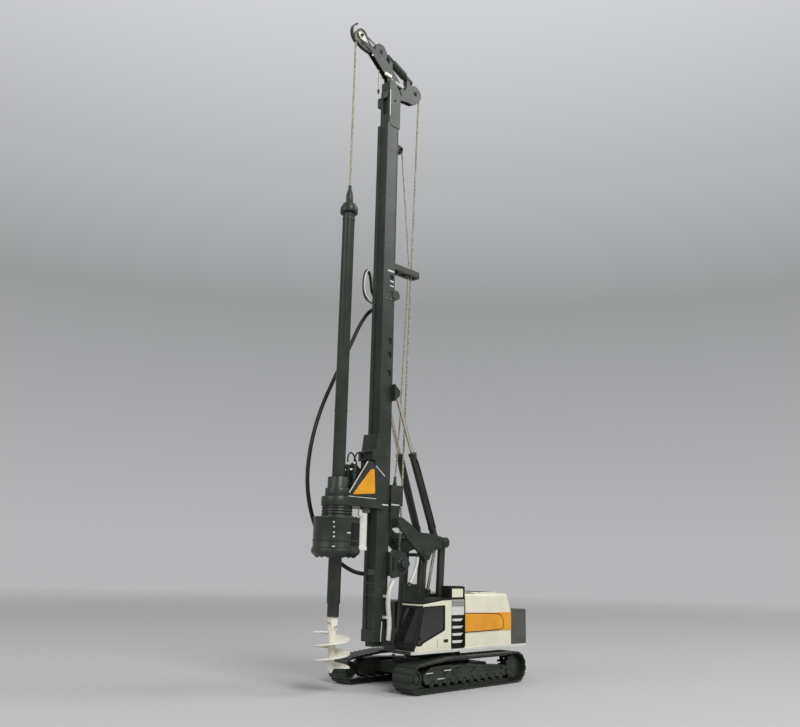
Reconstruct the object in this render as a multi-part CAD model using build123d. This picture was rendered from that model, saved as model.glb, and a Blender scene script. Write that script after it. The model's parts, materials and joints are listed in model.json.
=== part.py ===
"""Die-cast scale model, 1:50, of a rotary piling rig on crawler tracks.

Axes: +X forward (towards the mast), +Y to the rig's left, +Z up, millimetres of the model.
Every piece is drawn about the slew axis, at x = 0 and y = 0, with the floor at z = 0. The last
step moves them all by SLEW_X, so that the origin is the middle of the model's footprint.
"""
import os
from math import asin, atan2, cos, hypot, pi, radians, sin, sqrt, tan

from build123d import *

# Undercarriage
TRACK_HALF_GAUGE = 35.3        # slew axis to the middle of a track
SHOE_WIDTH = 18.7
SHOE_THICK = 1.5               # to the top of the grouser bar
SHOE_PLATE = 1.05              # at the shoe's two ends
SHOE_WEB = 0.45                # what is left in the slot between two shoes
SHOE_GAP = 0.7                 # slot between two shoes
GROUSER_WIDTH = 1.5
SHOE_COUNT = 58
CHAIN_THICK = 1.9
CHAIN_WIDTH = 6.4
SPROCKET_X = -56.5
SPROCKET_END_R = 12.1          # floor to the sprocket's centre
SPROCKET_TEETH = 13
TOOTH_HEIGHT = 1.8
TOOTH_THICK = 1.2
IDLER_X = 60.4
IDLER_END_R = 10.4             # floor to the idler's centre
IDLER_DISH = 1.0               # recess in the idler's sides
CREST_X = 24.0                 # where the top run bends down to the idler
CREST_TOP = 24.2
FRAME_HALF_WIDTH = 5.0
POCKET_DEPTH = 1.0             # recesses between the side frame's ribs
ROLLER_COUNT = 10
ROLLER_R = 2.5
ROLLER_FIRST_X = -40.0
ROLLER_PITCH = 9.2
ROLLER_INSET = 0.6             # a roller's ends, in from the side frame's faces
FIT = 0.2                      # gap between two pieces that seat on each other
BODY_BOTTOM = 8.5
BODY_HALF_LENGTH = 24.0
BODY_HALF_WIDTH = 20.0
CROSS_X = 26.0                 # the two cross members, slew axis to their middle
CROSS_HALF = 7.5
CROSS_TOP = 16.5
RING_R = 19.0
RING_SEAT = 3.0                # the car body's round seat, out from the slew ring
RING_BOTTOM = 20.5
DECK_BOTTOM = 24.9
RUN_GAP = 0.4                  # gap between two faces that turn or slide past each other

# Upper carriage
HOUSE_HALF_WIDTH = 34.8
HOUSE_BOTTOM = 28.8
HOUSE_TOP = 70.0
HOUSE_FRONT = -1.9
HOUSE_REAR = -62.0
FLOOR_BOTTOM = 26.6            # side floors and platform edges
BAND_BOTTOM = 40.5
BAND_TOP = 54.8
BAND_PROUD = 0.5
WELL_HALF_WIDTH = 15.5         # recess in the housing's front, which the rear links swing into
WELL_DEPTH = 11.0
WEIGHT_REAR = -86.0
WEIGHT_TOP = 56.8
WEIGHT_INSET = 1.2             # the weight's side, in from the housing's
WEIGHT_CORNER = 1.6            # bevel at its rear corners
LUG_R = 1.6
COLUMN_FRONT = 14.6
COLUMN_TOP = 53.8
COLUMN_INSET = 1.0
STEP_COUNT = 4
STEP_FIRST_Z = 34.0
STEP_PITCH = 5.4
STEP_THICK = 0.9
INTAKE_BOTTOM = 65.6
INTAKE_TOP = 75.5
SPINE_HALF_WIDTH = 14.0        # the deck's middle frame, between cab and cabinet
SPINE_FRONT = 40.0
SPINE_TOP = 30.0
CABINET_FRONT = 27.0
CABINET_TOP = 63.0
CAB_REAR = 15.4
CAB_INNER = 15.6               # the cab's right wall, outside
CAB_TOP = 66.9
CAB_WALL = 1.1
CAB_NOSE = (57.8, 31.4)        # foot of the cab's front, (x, z)
SCREEN_FOOT = (56.6, 33.8)
SCREEN_TOP = (49.4, 60.6)
ROOF_EDGE = (50.3, 62.0)       # the roof's lip over the windscreen
ROOF_BEND = (26.0, 66.4)
PILLAR = 1.2                   # front pillar, along X
PLATFORM_FRONT = 59.4
GLASS = 0.8
REAR_PANE = (46.0, 62.0)       # window in the cab's rear wall, bottom and top
SEAT_WIDTH = 7.0
SILL = 1.6                     # platform edge

# Linkage, all pins along Y: (x, z)
FRONT_FOOT = (26.0, 39.0)
LINK_LEAN = -3.3               # degrees of the links from upright, top to the rear
LINK_LENGTH = 60.6
REAR_PIN_OFFSET = (-23.1, 10.5)    # knee's rear pin from its lower pin
MAST_PIVOT_OFFSET = (30.0, 24.2)   # mast pivot from the knee's lower pin
STAY_PIN_OFFSET = (7.4, 3.2)       # backstay foot from the knee's rear pin
LUFF_FOOT = (17.5, 37.5)
LINK_EYE_R = 3.6
LINK_OUT = 11.6                # outer face of the links
LINK_THICK = 3.2
EAR_THICK = 2.2                # the deck's ears, outside the links
EAR_R = 3.4
KNEE_IN = 12.0
KNEE_THICK = 2.2
KNEE_BOSS = 0.8                # bosses round the knee's pins, out from its plates
PIN_R = 1.4
PIN_PLAY = 0.05
LUFF_Y = 3.4
LUFF_TUBE_R = 2.3
LUFF_ROD_R = 1.3
LUFF_PIN_R = 1.0
LUFF_TUBE_RUN = 36.0
LUFF_CHEEK_OUT = 2.9           # cylinder's middle to the cheek outside it
STAY_TUBE_R = 3.0
STAY_ROD_R = 1.6
STAY_TUBE_RUN = 73.0
STAY_FOOT_Y = 8.8
STAY_HEAD_Y = 6.2
STAY_SLACK = 0.5
EYE_SLACK = 1.3                # room round the pin in a luffing rod's open eye

# Mast, upright at rest
MAST_FRONT = 71.8
MAST_DEPTH = 14.6
MAST_HALF_WIDTH = 5.3
RAIL_HALF_WIDTH = 6.45
RAIL_DEPTH = 2.3
GROOVE_HALF_WIDTH = 3.2        # shallow groove down the mast's front
GROOVE_DEPTH = 1.2
MAST_FOOT = 30.6
FOOT_RISE = 3.6                # narrow block under the mast's foot
FOOT_BAND = 8.8                # wider band round the mast's lower end
MAST_JOINT = 311.0
HINGE_R = 4.2                  # knuckles of the folding joint, on the mast's rear edges
FLANGE_THICK = 2.0
RAIL_TOP = 470.0
MAST_TOP = 505.0
STAY_EAR_Z = 228.0
BLOCK_RISE = 13.3              # mast pivot up to the block on the mast's rear
BLOCK_HEIGHT = 16.0
BLOCK_DEPTH = 13.2
BLOCK_HALF_WIDTH = 7.2
SLOT_LENGTH = 4.0              # blind slots in the mast's sides
SLOT_HALF_HEIGHT = 2.4
SLOT_DEPTH = 1.2
HEAD_SLOT = (481.0, 500.0)     # recess in the mast's front under the head
COVER_BOTTOM = 469.0           # cover plates on the mast's upper sides
COVER_THICK = 0.5
GUIDE_ARM_Z = 336.5
GUIDE_ARM_THICK = 5.0
GUIDE_ARM_REAR = 25.0
GUIDE_ARM_HALF_WIDTH = 5.5
WINCH = (45.5, 91.5)
WINCH_R = 8.6
WINCH_HALF_WIDTH = 7.6
WINCH_FLANGE = 1.2
WINCH_CHEEK = 1.4
PIPE_Y = 9.0
PIPE_R = 1.9

# Mast head: sheave centres (x, z), and the radii that the rope's middle runs at
ROPE_R = 0.65
FRONT_SHEAVE_R = 5.4
FRONT_SHEAVE_RISE = 38.6       # mast top up to the front sheave's centre
MID_SHEAVE = (78.5, MAST_TOP + 33.5)
MID_SHEAVE_R = 3.6
REAR_SHEAVE = (33.0, MAST_TOP + 12.5)
REAR_SHEAVE_R = 6.6
SMALL_SHEAVE = (50.5, MAST_TOP - 52.0)
SMALL_SHEAVE_R = 3.4
SHEAVE_HALF_WIDTH = 1.3
SHEAVE_RIM = 0.4               # rim, out from the rope's middle
SHEAVE_HUB = 0.8               # hub, out from its pin
GUARD_R = 10.6
GUARD_THICK = 1.0
HEAD_PLATE_IN = 1.7
HEAD_PLATE_THICK = 0.7
EYE_RIM = 1.3                  # width of the plates' rim round the front sheave
HEAD_TUBE_R = 2.9
HEAD_TUBE_WALL = 1.1
HEAD_TUBE_X = (37.5, 70.0)     # its rear and front ends
SADDLES_X = (43.0, 66.0)
SADDLE_HALF = 2.0
SADDLE_DEPTH = 7.5

# Drive, kelly bar and auger
KELLY_X = 107.5
KELLY_R = 4.95
KELLY_BOTTOM = 53.2
KELLY_STEP = 9.3               # narrower length at the kelly bar's foot
KELLY_NECK = 0.6               # how much narrower it is
KELLY_TOP = 372.0
COLLAR_TOP = 380.0
COLLAR_R = 7.2
COLLAR_STEP = 3.0
SWIVEL_R = 2.9
SWIVEL_TOP = 397.0
SWIVEL_NECK_R = 1.4
PLATE_TOP = 139.9
PLATE_THICK = 6.8
PLATE_R = 12.2
KELLY_PLAY = 0.35
BUSH_TOP = 154.7
BUSH_R = 8.0
BUSH_RING = 1.6                # ring at the bush's foot, out from the bush
BUSH_RING_HEIGHT = 6.1
DRUM_TOP = 124.5
DRUM_BOTTOM = 101.5
DRUM_R = 17.2
DRUM_BAND = 1.5
FLANGE_R = 18.2
FLANGE_BOTTOM = 95.8
FLANGE_BEVEL = 3.0
NECK_R = 11.2
FORK_THICK = 1.8               # the carriage's cheeks beside the mast's rails
FORK_REAR = 3.6                # how far they reach behind the rails
FORK_FRONT = 5.0               # and in front of the mast
CLAW_HEIGHT = 18.8
CLAW_PITCH = 38.0
GUSSET_THICK = 1.35
HOOD_TOP = 192.3
HOOD_BOTTOM = 170.5
MOTOR_X = 95.0
MOTOR_Y = 3.6
MOTOR_R = 3.0
AUGER_R = 13.5
AUGER_BOTTOM = 14.5
AUGER_STEM_R = 2.5
AUGER_POINT = 3.0
BOX_HALF = 2.45
BOX_BOTTOM = 44.0
FLIGHT_TOP = 43.1
FLIGHT_PITCH = 9.85
FLIGHT_THICK = 1.0
FLIGHT_END_ANGLE = -41.3       # where the flight's upper end lies round the stem

# Worked out from the driving sizes
MAST_REAR = MAST_FRONT - MAST_DEPTH
BOX_FRONT = MAST_FRONT - RAIL_DEPTH    # front of the mast's box, behind its rails
SLEW_X = -(KELLY_X + FLANGE_R + WEIGHT_REAR) / 2
LINK_VEC = (LINK_LENGTH * sin(radians(LINK_LEAN)), LINK_LENGTH * cos(radians(LINK_LEAN)))


def shift(p, v):
    """The point p moved by v, both as (x, z)."""
    return (p[0] + v[0], p[1] + v[1])


KNEE_LOW = shift(FRONT_FOOT, LINK_VEC)
KNEE_REAR = shift(KNEE_LOW, REAR_PIN_OFFSET)
REAR_FOOT = shift(FRONT_FOOT, REAR_PIN_OFFSET)
MAST_PIVOT = shift(KNEE_LOW, MAST_PIVOT_OFFSET)
STAY_FOOT = shift(KNEE_REAR, STAY_PIN_OFFSET)
STAY_HEAD = (MAST_REAR - 4.0, STAY_EAR_Z)
FRONT_SHEAVE = (KELLY_X - FRONT_SHEAVE_R, MAST_TOP + FRONT_SHEAVE_RISE)

nodes = {}


def bar(x0, x1, y0, y1, z0, z1):
    """A box between two corners."""
    size = (abs(x1 - x0), abs(y1 - y0), abs(z1 - z0))
    return Pos((x0 + x1) / 2, (y0 + y1) / 2, (z0 + z1) / 2) * Box(*size)


def disc_y(c, r, y0, y1):
    """A round along Y about the pin centre c = (x, z)."""
    return Pos(c[0], (y0 + y1) / 2, c[1]) * Rot(90, 0, 0) * Cylinder(r, abs(y1 - y0))


def disc_z(x, y, r, z0, z1):
    """A round along Z."""
    return Pos(x, y, (z0 + z1) / 2) * Cylinder(r, abs(z1 - z0))


def slab(points, y0, y1):
    """A plate with the outline points (x, z), from y0 to y1."""
    face = Plane.XZ.offset(-max(y0, y1)) * Polygon(*points, align=None)
    return extrude(face, abs(y1 - y0), dir=(0, -1, 0))


def rounded_slab(points, r, y0, y1):
    """A plate as slab makes it, with its corners rounded to r."""
    outline = Polygon(*points, align=None)
    outline = fillet(outline.vertices(), r)
    return extrude(Plane.XZ.offset(-max(y0, y1)) * outline, abs(y1 - y0), dir=(0, -1, 0))


def rod(p, q, r):
    """A round bar between two points (x, y, z)."""
    d = Vector(*q) - Vector(*p)
    return extrude(Plane(origin=p, z_dir=d) * Circle(r), d.length)


def strut(p, q, r, y0, y1):
    """A flat link: two eyes of radius r at the pins p and q and the straight web between."""
    dx, dz = q[0] - p[0], q[1] - p[1]
    n = hypot(dx, dz)
    ox, oz = -dz / n * r, dx / n * r
    web = [(p[0] + ox, p[1] + oz), (q[0] + ox, q[1] + oz),
           (q[0] - ox, q[1] - oz), (p[0] - ox, p[1] - oz)]
    return disc_y(p, r, y0, y1) + disc_y(q, r, y0, y1) + slab(web, y0, y1)


def both(solid):
    """The solid and its mirror image across the rig's middle plane."""
    return solid + mirror(solid, Plane.XZ)


def group(pieces):
    """Several solids as one node."""
    return Part() + list(pieces)


def along(p, q, t):
    """The point at distance t from p towards q, in 3-D."""
    d = (Vector(*q) - Vector(*p)).normalized()
    return tuple(Vector(*p) + d * t)


def arc_points(c, r, first, last, count):
    """Points (x, z) on a circle about c, from one angle to another in degrees."""
    angles = [radians(first + (last - first) * i / (count - 1)) for i in range(count)]
    return [(c[0] + r * cos(a), c[1] + r * sin(a)) for a in angles]


class Belt:
    """The taut line round circles (x, z, r), run anticlockwise seen from the rig's right."""

    def __init__(self, circles):
        self.spans = []
        n = len(circles)
        normals = []
        for i in range(n):
            (x1, z1, r1), (x2, z2, r2) = circles[i], circles[(i + 1) % n]
            d = hypot(x2 - x1, z2 - z1)
            ux, uz = (x2 - x1) / d, (z2 - z1) / d
            a = (r1 - r2) / d
            b = sqrt(1 - a * a)
            normals.append((a * ux + b * uz, a * uz - b * ux, sqrt(d * d - (r1 - r2) ** 2)))
        for i in range(n):
            x, z, r = circles[i]
            start = atan2(normals[i - 1][1], normals[i - 1][0])
            turn = (atan2(normals[i][1], normals[i][0]) - start) % (2 * pi)
            self.spans.append((turn * r, x, z, r, start, turn))
            nx, nz, run = normals[i]
            self.spans.append((run, x + r * nx, z + r * nz, 0, nx, nz))
        self.length = sum(span[0] for span in self.spans)

    def at(self, s, out):
        """The point at distance s along the belt, moved outwards by out."""
        s %= self.length
        for run, x, z, r, p, q in self.spans:
            if s <= run:
                break
            s -= run
        if r:
            a = p + s / r
            return (x + (r + out) * cos(a), z + (r + out) * sin(a))
        return (x - s * q + out * p, z + s * p + out * q)


# Tracks: one closed loop each, shoes with their grouser bars and chain in one solid
belt = Belt([
    (SPROCKET_X, SPROCKET_END_R, SPROCKET_END_R - SHOE_THICK),
    (IDLER_X, IDLER_END_R, IDLER_END_R - SHOE_THICK),
    (CREST_X, CREST_TOP - SPROCKET_END_R, SPROCKET_END_R - SHOE_THICK),
])
shoe_pitch = belt.length / SHOE_COUNT
bar_start = (shoe_pitch - GROUSER_WIDTH) / 2
shoe_profile = (
    # distance along the shoe, height
    (SHOE_GAP / 2, SHOE_WEB), (SHOE_GAP / 2, SHOE_PLATE),
    (bar_start, SHOE_THICK), (shoe_pitch - bar_start, SHOE_THICK),
    (shoe_pitch - SHOE_GAP / 2, SHOE_PLATE), (shoe_pitch - SHOE_GAP / 2, SHOE_WEB),
)
outline = [belt.at(k * shoe_pitch + ds, out) for k in range(SHOE_COUNT) for ds, out in shoe_profile]
ring_in = [belt.at(k * shoe_pitch, 0) for k in range(SHOE_COUNT)]
chain_in = [belt.at(k * shoe_pitch, -CHAIN_THICK) for k in range(SHOE_COUNT)]


def link_radius(end_r, depth):
    """The largest round inside the straight links, depth below the shoes, where the track turns."""
    pin_line = end_r - SHOE_THICK
    return (pin_line - depth) * cos(shoe_pitch / 2 / pin_line) - FIT


def toothed(c, root, tip, count):
    """Outline of a sprocket disc: count teeth with sloping flanks between root and tip."""
    points = []
    for k in range(count):
        for turn, r in ((-0.34, root), (-0.15, tip), (0.15, tip), (0.34, root)):
            a = 2 * pi * (k + turn) / count
            points.append((c[0] + r * cos(a), c[1] + r * sin(a)))
    return points


# Recesses between the ribs of a side frame
FRAME_POCKETS = (
    ((-42, 11.0), (-42, 13.3), (-16, 14.9), (-9, 11.0)),
    ((-3, 11.0), (-9, 15.2), (15, 16.2), (23, 11.0)),
    ((29, 11.0), (22, 16.6), (41, 16.6), (48, 12.4), (48, 11.0)),
)


def track_side(side, name):
    """One crawler: loop, side frame, rollers, sprocket and idler, on the side +1 or -1."""
    y = side * TRACK_HALF_GAUGE
    half = SHOE_WIDTH / 2
    shoes = slab(outline, y - half, y + half) - slab(ring_in, y - half, y + half)
    chain = slab(ring_in, y - CHAIN_WIDTH / 2, y + CHAIN_WIDTH / 2)
    chain -= slab(chain_in, y - CHAIN_WIDTH / 2, y + CHAIN_WIDTH / 2)
    nodes["track_loop_" + name] = shoes + chain

    idler = (IDLER_X, IDLER_END_R)
    sprocket = (SPROCKET_X, SPROCKET_END_R)
    idler_r = link_radius(IDLER_END_R, CHAIN_THICK)
    sprocket_r = link_radius(SPROCKET_END_R, CHAIN_THICK)
    tip_r = link_radius(SPROCKET_END_R, 0)
    roller_z = SHOE_THICK + CHAIN_THICK + FIT + ROLLER_R
    roller_xs = [ROLLER_FIRST_X + i * ROLLER_PITCH for i in range(ROLLER_COUNT)]
    y0, y1 = y - FRAME_HALF_WIDTH, y + FRAME_HALF_WIDTH
    side_plate = [(-46, roller_z), (50, roller_z), (52.5, 9.5), (52.5, 13), (44, 18.2),
                  (28, 18.6), (-4, 17.0), (-46, 14.0)]
    frame = slab(side_plate, y0, y1)
    for x in roller_xs:
        frame -= disc_y((x, roller_z), ROLLER_R + FIT, y0, y1)
    frame -= disc_y(idler, idler_r + FIT, y0, y1)
    frame -= disc_y(sprocket, tip_r + FIT, y0, y1)
    outer = y + side * FRAME_HALF_WIDTH
    for pocket in FRAME_POCKETS:
        frame -= slab(pocket, outer, outer - side * POCKET_DEPTH)
    nodes["track_frame_" + name] = frame

    wheels = []
    for x in roller_xs:
        wheels.append(disc_y((x, roller_z), ROLLER_R, y0 + ROLLER_INSET, y1 - ROLLER_INSET))
    hub = FRAME_HALF_WIDTH - ROLLER_INSET
    wheel = disc_y(idler, idler_r, y - hub, y + hub)
    for face in (-1, 1):
        wheel -= disc_y(idler, idler_r - 1.6, y + face * hub, y + face * (hub - IDLER_DISH))
    wheels.append(wheel + disc_y(idler, 2.6, y - hub, y + hub))
    wheel = disc_y(sprocket, sprocket_r, y - 2.4, y + 2.4)
    wheel += disc_y(sprocket, sprocket_r - 2.4, y - hub, y + hub)
    tooth_in = CHAIN_WIDTH / 2 + FIT
    for face in (-1, 1):
        wheel += slab(toothed(sprocket, tip_r - TOOTH_HEIGHT, tip_r, SPROCKET_TEETH),
                      y + face * tooth_in, y + face * (tooth_in + TOOTH_THICK))
    wheels.append(wheel)
    nodes["track_wheels_" + name] = group(wheels)


for side, name in ((1, "left"), (-1, "right")):
    track_side(side, name)

# Car body: centre box, two cross members to the track frames, and the slew ring's seat
frame_in = TRACK_HALF_GAUGE - FRAME_HALF_WIDTH
car = bar(-BODY_HALF_LENGTH, BODY_HALF_LENGTH, -BODY_HALF_WIDTH, BODY_HALF_WIDTH, BODY_BOTTOM, RING_BOTTOM - 2)
for x in (-CROSS_X, CROSS_X):
    car += bar(x - CROSS_HALF, x + CROSS_HALF, -frame_in, frame_in, BODY_BOTTOM, CROSS_TOP)
car += disc_z(0, 0, RING_R + RING_SEAT, RING_BOTTOM - 4, RING_BOTTOM)
nodes["car_body"] = car
nodes["slew_ring"] = disc_z(0, 0, RING_R, RING_BOTTOM, DECK_BOTTOM - RUN_GAP)

# Deck: the spine between cab and cabinet, with ears for the linkage's feet, and the side floors
floor_rear = WEIGHT_REAR + 3.5
cabinet_floor = CABINET_FRONT + 3
platform_out = HOUSE_HALF_WIDTH - SILL
deck = bar(floor_rear, SPINE_FRONT, -SPINE_HALF_WIDTH, SPINE_HALF_WIDTH, DECK_BOTTOM, HOUSE_BOTTOM)
deck += bar(floor_rear, PLATFORM_FRONT, SPINE_HALF_WIDTH, platform_out, FLOOR_BOTTOM, HOUSE_BOTTOM)
deck += bar(floor_rear, cabinet_floor, -platform_out, -SPINE_HALF_WIDTH, FLOOR_BOTTOM, HOUSE_BOTTOM)
deck += bar(HOUSE_FRONT + RUN_GAP, SPINE_FRONT, -SPINE_HALF_WIDTH, SPINE_HALF_WIDTH, HOUSE_BOTTOM, SPINE_TOP)
ear_in = LINK_OUT + RUN_GAP
ear_out = ear_in + EAR_THICK
for foot, spread in ((FRONT_FOOT, 5.5), (REAR_FOOT, 4.2)):
    base = [(foot[0] - spread, HOUSE_BOTTOM), (foot[0] + spread, HOUSE_BOTTOM),
            (foot[0] + 3, foot[1]), (foot[0] - 3, foot[1])]
    deck += both(slab(base, ear_in, ear_out) + disc_y(foot, EAR_R, ear_in, ear_out))
    deck += disc_y(foot, PIN_R, -ear_out, ear_out)
cheek = [(LUFF_FOOT[0] - 3, SPINE_TOP), (LUFF_FOOT[0] + 3, SPINE_TOP),
         (LUFF_FOOT[0] + 2, LUFF_FOOT[1] + 2), (LUFF_FOOT[0] - 2, LUFF_FOOT[1] + 2)]
outer_cheek = LUFF_Y + LUFF_CHEEK_OUT
for y, half in ((-outer_cheek, 0.5), (0.0, 0.8), (outer_cheek, 0.5)):
    deck += slab(cheek, y - half, y + half)
deck += disc_y(LUFF_FOOT, LUFF_PIN_R, -outer_cheek, outer_cheek)
nodes["deck"] = deck

# Platform edges
for side, name, front in ((1, "left", PLATFORM_FRONT), (-1, "right", cabinet_floor)):
    nodes["platform_edge_" + name] = bar(floor_rear, front, side * platform_out, side * (HOUSE_HALF_WIDTH + FIT),
                                         FLOOR_BOTTOM, HOUSE_BOTTOM)

# Engine housing: sloped rear, rounded top edges, with a proud coloured panel on each side
side_view = [(HOUSE_REAR, HOUSE_BOTTOM), (HOUSE_FRONT, HOUSE_BOTTOM), (HOUSE_FRONT, HOUSE_TOP),
             (HOUSE_REAR + 6.0, HOUSE_TOP), (HOUSE_REAR + 3.2, HOUSE_TOP - 6.6), (HOUSE_REAR, WEIGHT_TOP - 1.5)]
house = slab(side_view, -HOUSE_HALF_WIDTH + BAND_PROUD, HOUSE_HALF_WIDTH - BAND_PROUD)
top_edges = house.edges().filter_by(Axis.X).group_by(Axis.Z)[-1]
house = fillet(top_edges, 2.2)
house -= bar(HOUSE_FRONT - WELL_DEPTH, HOUSE_FRONT, -WELL_HALF_WIDTH, WELL_HALF_WIDTH, HOUSE_BOTTOM, HOUSE_TOP)
nodes["engine_housing"] = house
for side, name in ((1, "left"), (-1, "right")):
    nodes["band_panel_" + name] = bar(HOUSE_REAR, HOUSE_FRONT, side * (HOUSE_HALF_WIDTH - BAND_PROUD),
                                      side * HOUSE_HALF_WIDTH, BAND_BOTTOM, BAND_TOP)

# Counterweight: bevelled rear corners, rounded top edge, two lifting lugs
weight_half = HOUSE_HALF_WIDTH - WEIGHT_INSET
weight_front = HOUSE_REAR - FIT
weight_plan = [(weight_front, -weight_half), (WEIGHT_REAR + WEIGHT_CORNER, -weight_half),
               (WEIGHT_REAR, 2 * WEIGHT_CORNER - weight_half), (WEIGHT_REAR, weight_half - 2 * WEIGHT_CORNER),
               (WEIGHT_REAR + WEIGHT_CORNER, weight_half), (weight_front, weight_half)]
weight = extrude(Plane.XY.offset(HOUSE_BOTTOM) * Polygon(*weight_plan, align=None), WEIGHT_TOP - HOUSE_BOTTOM,
                 dir=(0, 0, 1))
weight = fillet(weight.edges().group_by(Axis.Z)[-1].sort_by(Axis.X)[0:3], 1.2)
for y in (-12, 12):
    weight += disc_y(((weight_front + WEIGHT_REAR) / 2, WEIGHT_TOP), LUG_R, y - 1, y + 1)
nodes["counterweight"] = weight

# Grille column with its steps, in front of the left housing, and the intake frame on top
column_rear = HOUSE_FRONT + FIT
column_out = HOUSE_HALF_WIDTH - COLUMN_INSET
step_zs = [STEP_FIRST_Z + i * STEP_PITCH for i in range(STEP_COUNT)]
step_front = COLUMN_FRONT - 1.2
step_in = column_out - 1.6
column = bar(column_rear, COLUMN_FRONT, CAB_INNER + 0.4, column_out, HOUSE_BOTTOM, COLUMN_TOP)
for z in step_zs:
    column -= bar(HOUSE_FRONT + 1.4, step_front, step_in, HOUSE_HALF_WIDTH, z - STEP_PITCH + 1, z)
nodes["grille_column"] = column
nodes["column_steps"] = group([bar(3.2, step_front - FIT, step_in, HOUSE_HALF_WIDTH + 0.3, z - STEP_THICK, z)
                               for z in step_zs])
nodes["intake_grating"] = bar(column_rear, COLUMN_FRONT, 22, column_out, COLUMN_TOP, INTAKE_BOTTOM)
intake_front = COLUMN_FRONT + 0.6
intake_out = HOUSE_HALF_WIDTH - 0.6
intake = bar(column_rear, intake_front, 24, intake_out, INTAKE_BOTTOM, INTAKE_TOP)
intake -= bar(column_rear + 1.4, intake_front - 1.4, intake_out - 1.0, intake_out + 1, INTAKE_BOTTOM + 1.4,
              INTAKE_TOP - 1.4)
nodes["intake_box"] = intake

# Right-hand cabinet, across the spine from the cab
cabinet = bar(column_rear, CABINET_FRONT, -intake_out, -CAB_INNER, HOUSE_BOTTOM, CABINET_TOP)
nodes["right_cabinet"] = fillet(cabinet.edges().group_by(Axis.Z)[-1], 1.6)

# Cab: a bent shell of one wall thickness, open at its windows, split into frame, door and roof
cab_side = [(CAB_REAR, HOUSE_BOTTOM), (CAB_NOSE[0] - 0.6, HOUSE_BOTTOM), CAB_NOSE, SCREEN_FOOT, SCREEN_TOP,
            ROOF_EDGE, shift(ROOF_EDGE, (-0.9, 1.6)), ROOF_BEND, (CAB_REAR, CAB_TOP)]
shell = slab(cab_side, CAB_INNER, HOUSE_HALF_WIDTH)
cab_hollow = [(CAB_REAR + CAB_WALL, HOUSE_BOTTOM + CAB_WALL), (CAB_NOSE[0] - 1.5, HOUSE_BOTTOM + CAB_WALL),
              shift(CAB_NOSE, (-CAB_WALL, 0.0)), shift(SCREEN_FOOT, (-CAB_WALL, -0.2)),
              shift(SCREEN_TOP, (-CAB_WALL, 0.4)), shift(ROOF_BEND, (0.0, -1.2)),
              (CAB_REAR + CAB_WALL, CAB_TOP - 1.3)]
shell -= slab(cab_hollow, CAB_INNER + CAB_WALL, HOUSE_HALF_WIDTH - CAB_WALL)
window_sill = [(SCREEN_FOOT[0] - 7.0, 33.2), (SCREEN_FOOT[0] - 8.6, 34.9), (23.5, 43.4)]
side_window = [(23.5, 61.0), shift(SCREEN_TOP, (-1.1 - PILLAR, -0.4)), (SCREEN_FOOT[0] - 1.1 - PILLAR, 33.2)]
side_window += window_sill
screen_low, screen_high = shift(SCREEN_FOOT, (-1.1, 0.3)), shift(SCREEN_TOP, (-1.1, -0.5))
front_window = [screen_low, shift(screen_low, (9.0, 0.0)), shift(screen_high, (16.0, 0.0)), screen_high]
shell -= slab(side_window, CAB_INNER - 1, CAB_INNER + CAB_WALL + 1)
shell -= slab(side_window, HOUSE_HALF_WIDTH - CAB_WALL - 1, HOUSE_HALF_WIDTH + 1)
shell -= slab(front_window, CAB_INNER - 1, HOUSE_HALF_WIDTH + 1)
pane_in, pane_out = CAB_INNER + 3, HOUSE_HALF_WIDTH - 3
shell -= bar(CAB_REAR - 1, CAB_REAR + CAB_WALL + 1, pane_in, pane_out, *REAR_PANE)
door_front = 0.3               # the door's front edge, into the pillar
door_outline = [(22.2, 30.4), (SCREEN_FOOT[0] - 1.0 - PILLAR, 30.4),
                (SCREEN_FOOT[0] - 1.1 - PILLAR + door_front, 33.2),
                shift(SCREEN_TOP, (door_front - 1.1 - PILLAR, 0.8)), (22.2, 62.2)]
door_cut = slab(door_outline, HOUSE_HALF_WIDTH - CAB_WALL, HOUSE_HALF_WIDTH + 1)
roof_cut = slab([(CAB_REAR - 1, CAB_TOP - 1.6), shift(ROOF_BEND, (0.0, -1.4)), shift(SCREEN_TOP, (-0.6, 1.6)),
                 shift(SCREEN_TOP, (4, 0.1)), (CAB_NOSE[0] + 2, CAB_TOP + 3), (CAB_REAR - 1, CAB_TOP + 3)], CAB_INNER - 1, HOUSE_HALF_WIDTH + 1)
nodes["cab_door"] = shell & door_cut
nodes["cab_roof"] = shell & roof_cut
nodes["cab_frame"] = shell - door_cut - roof_cut

# Cab glass: panes let into the openings, a bent windscreen, all one node
pane_side = slab(side_window, HOUSE_HALF_WIDTH - CAB_WALL, HOUSE_HALF_WIDTH - CAB_WALL + GLASS)
pane_far = slab(side_window, CAB_INNER + CAB_WALL - GLASS, CAB_INNER + CAB_WALL)
screen = slab(cab_side, CAB_INNER, HOUSE_HALF_WIDTH)
screen -= slab(cab_hollow, CAB_INNER + CAB_WALL, HOUSE_HALF_WIDTH - CAB_WALL)
screen = screen & slab(front_window, CAB_INNER, HOUSE_HALF_WIDTH)
pane_rear = bar(CAB_REAR + 0.2, CAB_REAR + 0.2 + GLASS, pane_in, pane_out, *REAR_PANE)
nodes["cab_glass"] = group([pane_side, pane_far, screen, pane_rear])

# Seat and console inside the cab
seat_y = (CAB_INNER + HOUSE_HALF_WIDTH) / 2
seat_0, seat_1 = seat_y - SEAT_WIDTH / 2, seat_y + SEAT_WIDTH / 2
floor_z = HOUSE_BOTTOM + CAB_WALL
seat = bar(24, 33, seat_0, seat_1, floor_z, floor_z + 6.6)
seat += bar(22.5, 25.5, seat_0, seat_1, floor_z + 6.6, floor_z + 17)
seat += bar(40, 44, seat_0 + 1, seat_1 - 1, floor_z, floor_z + 8)
nodes["cab_seat"] = seat

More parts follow.
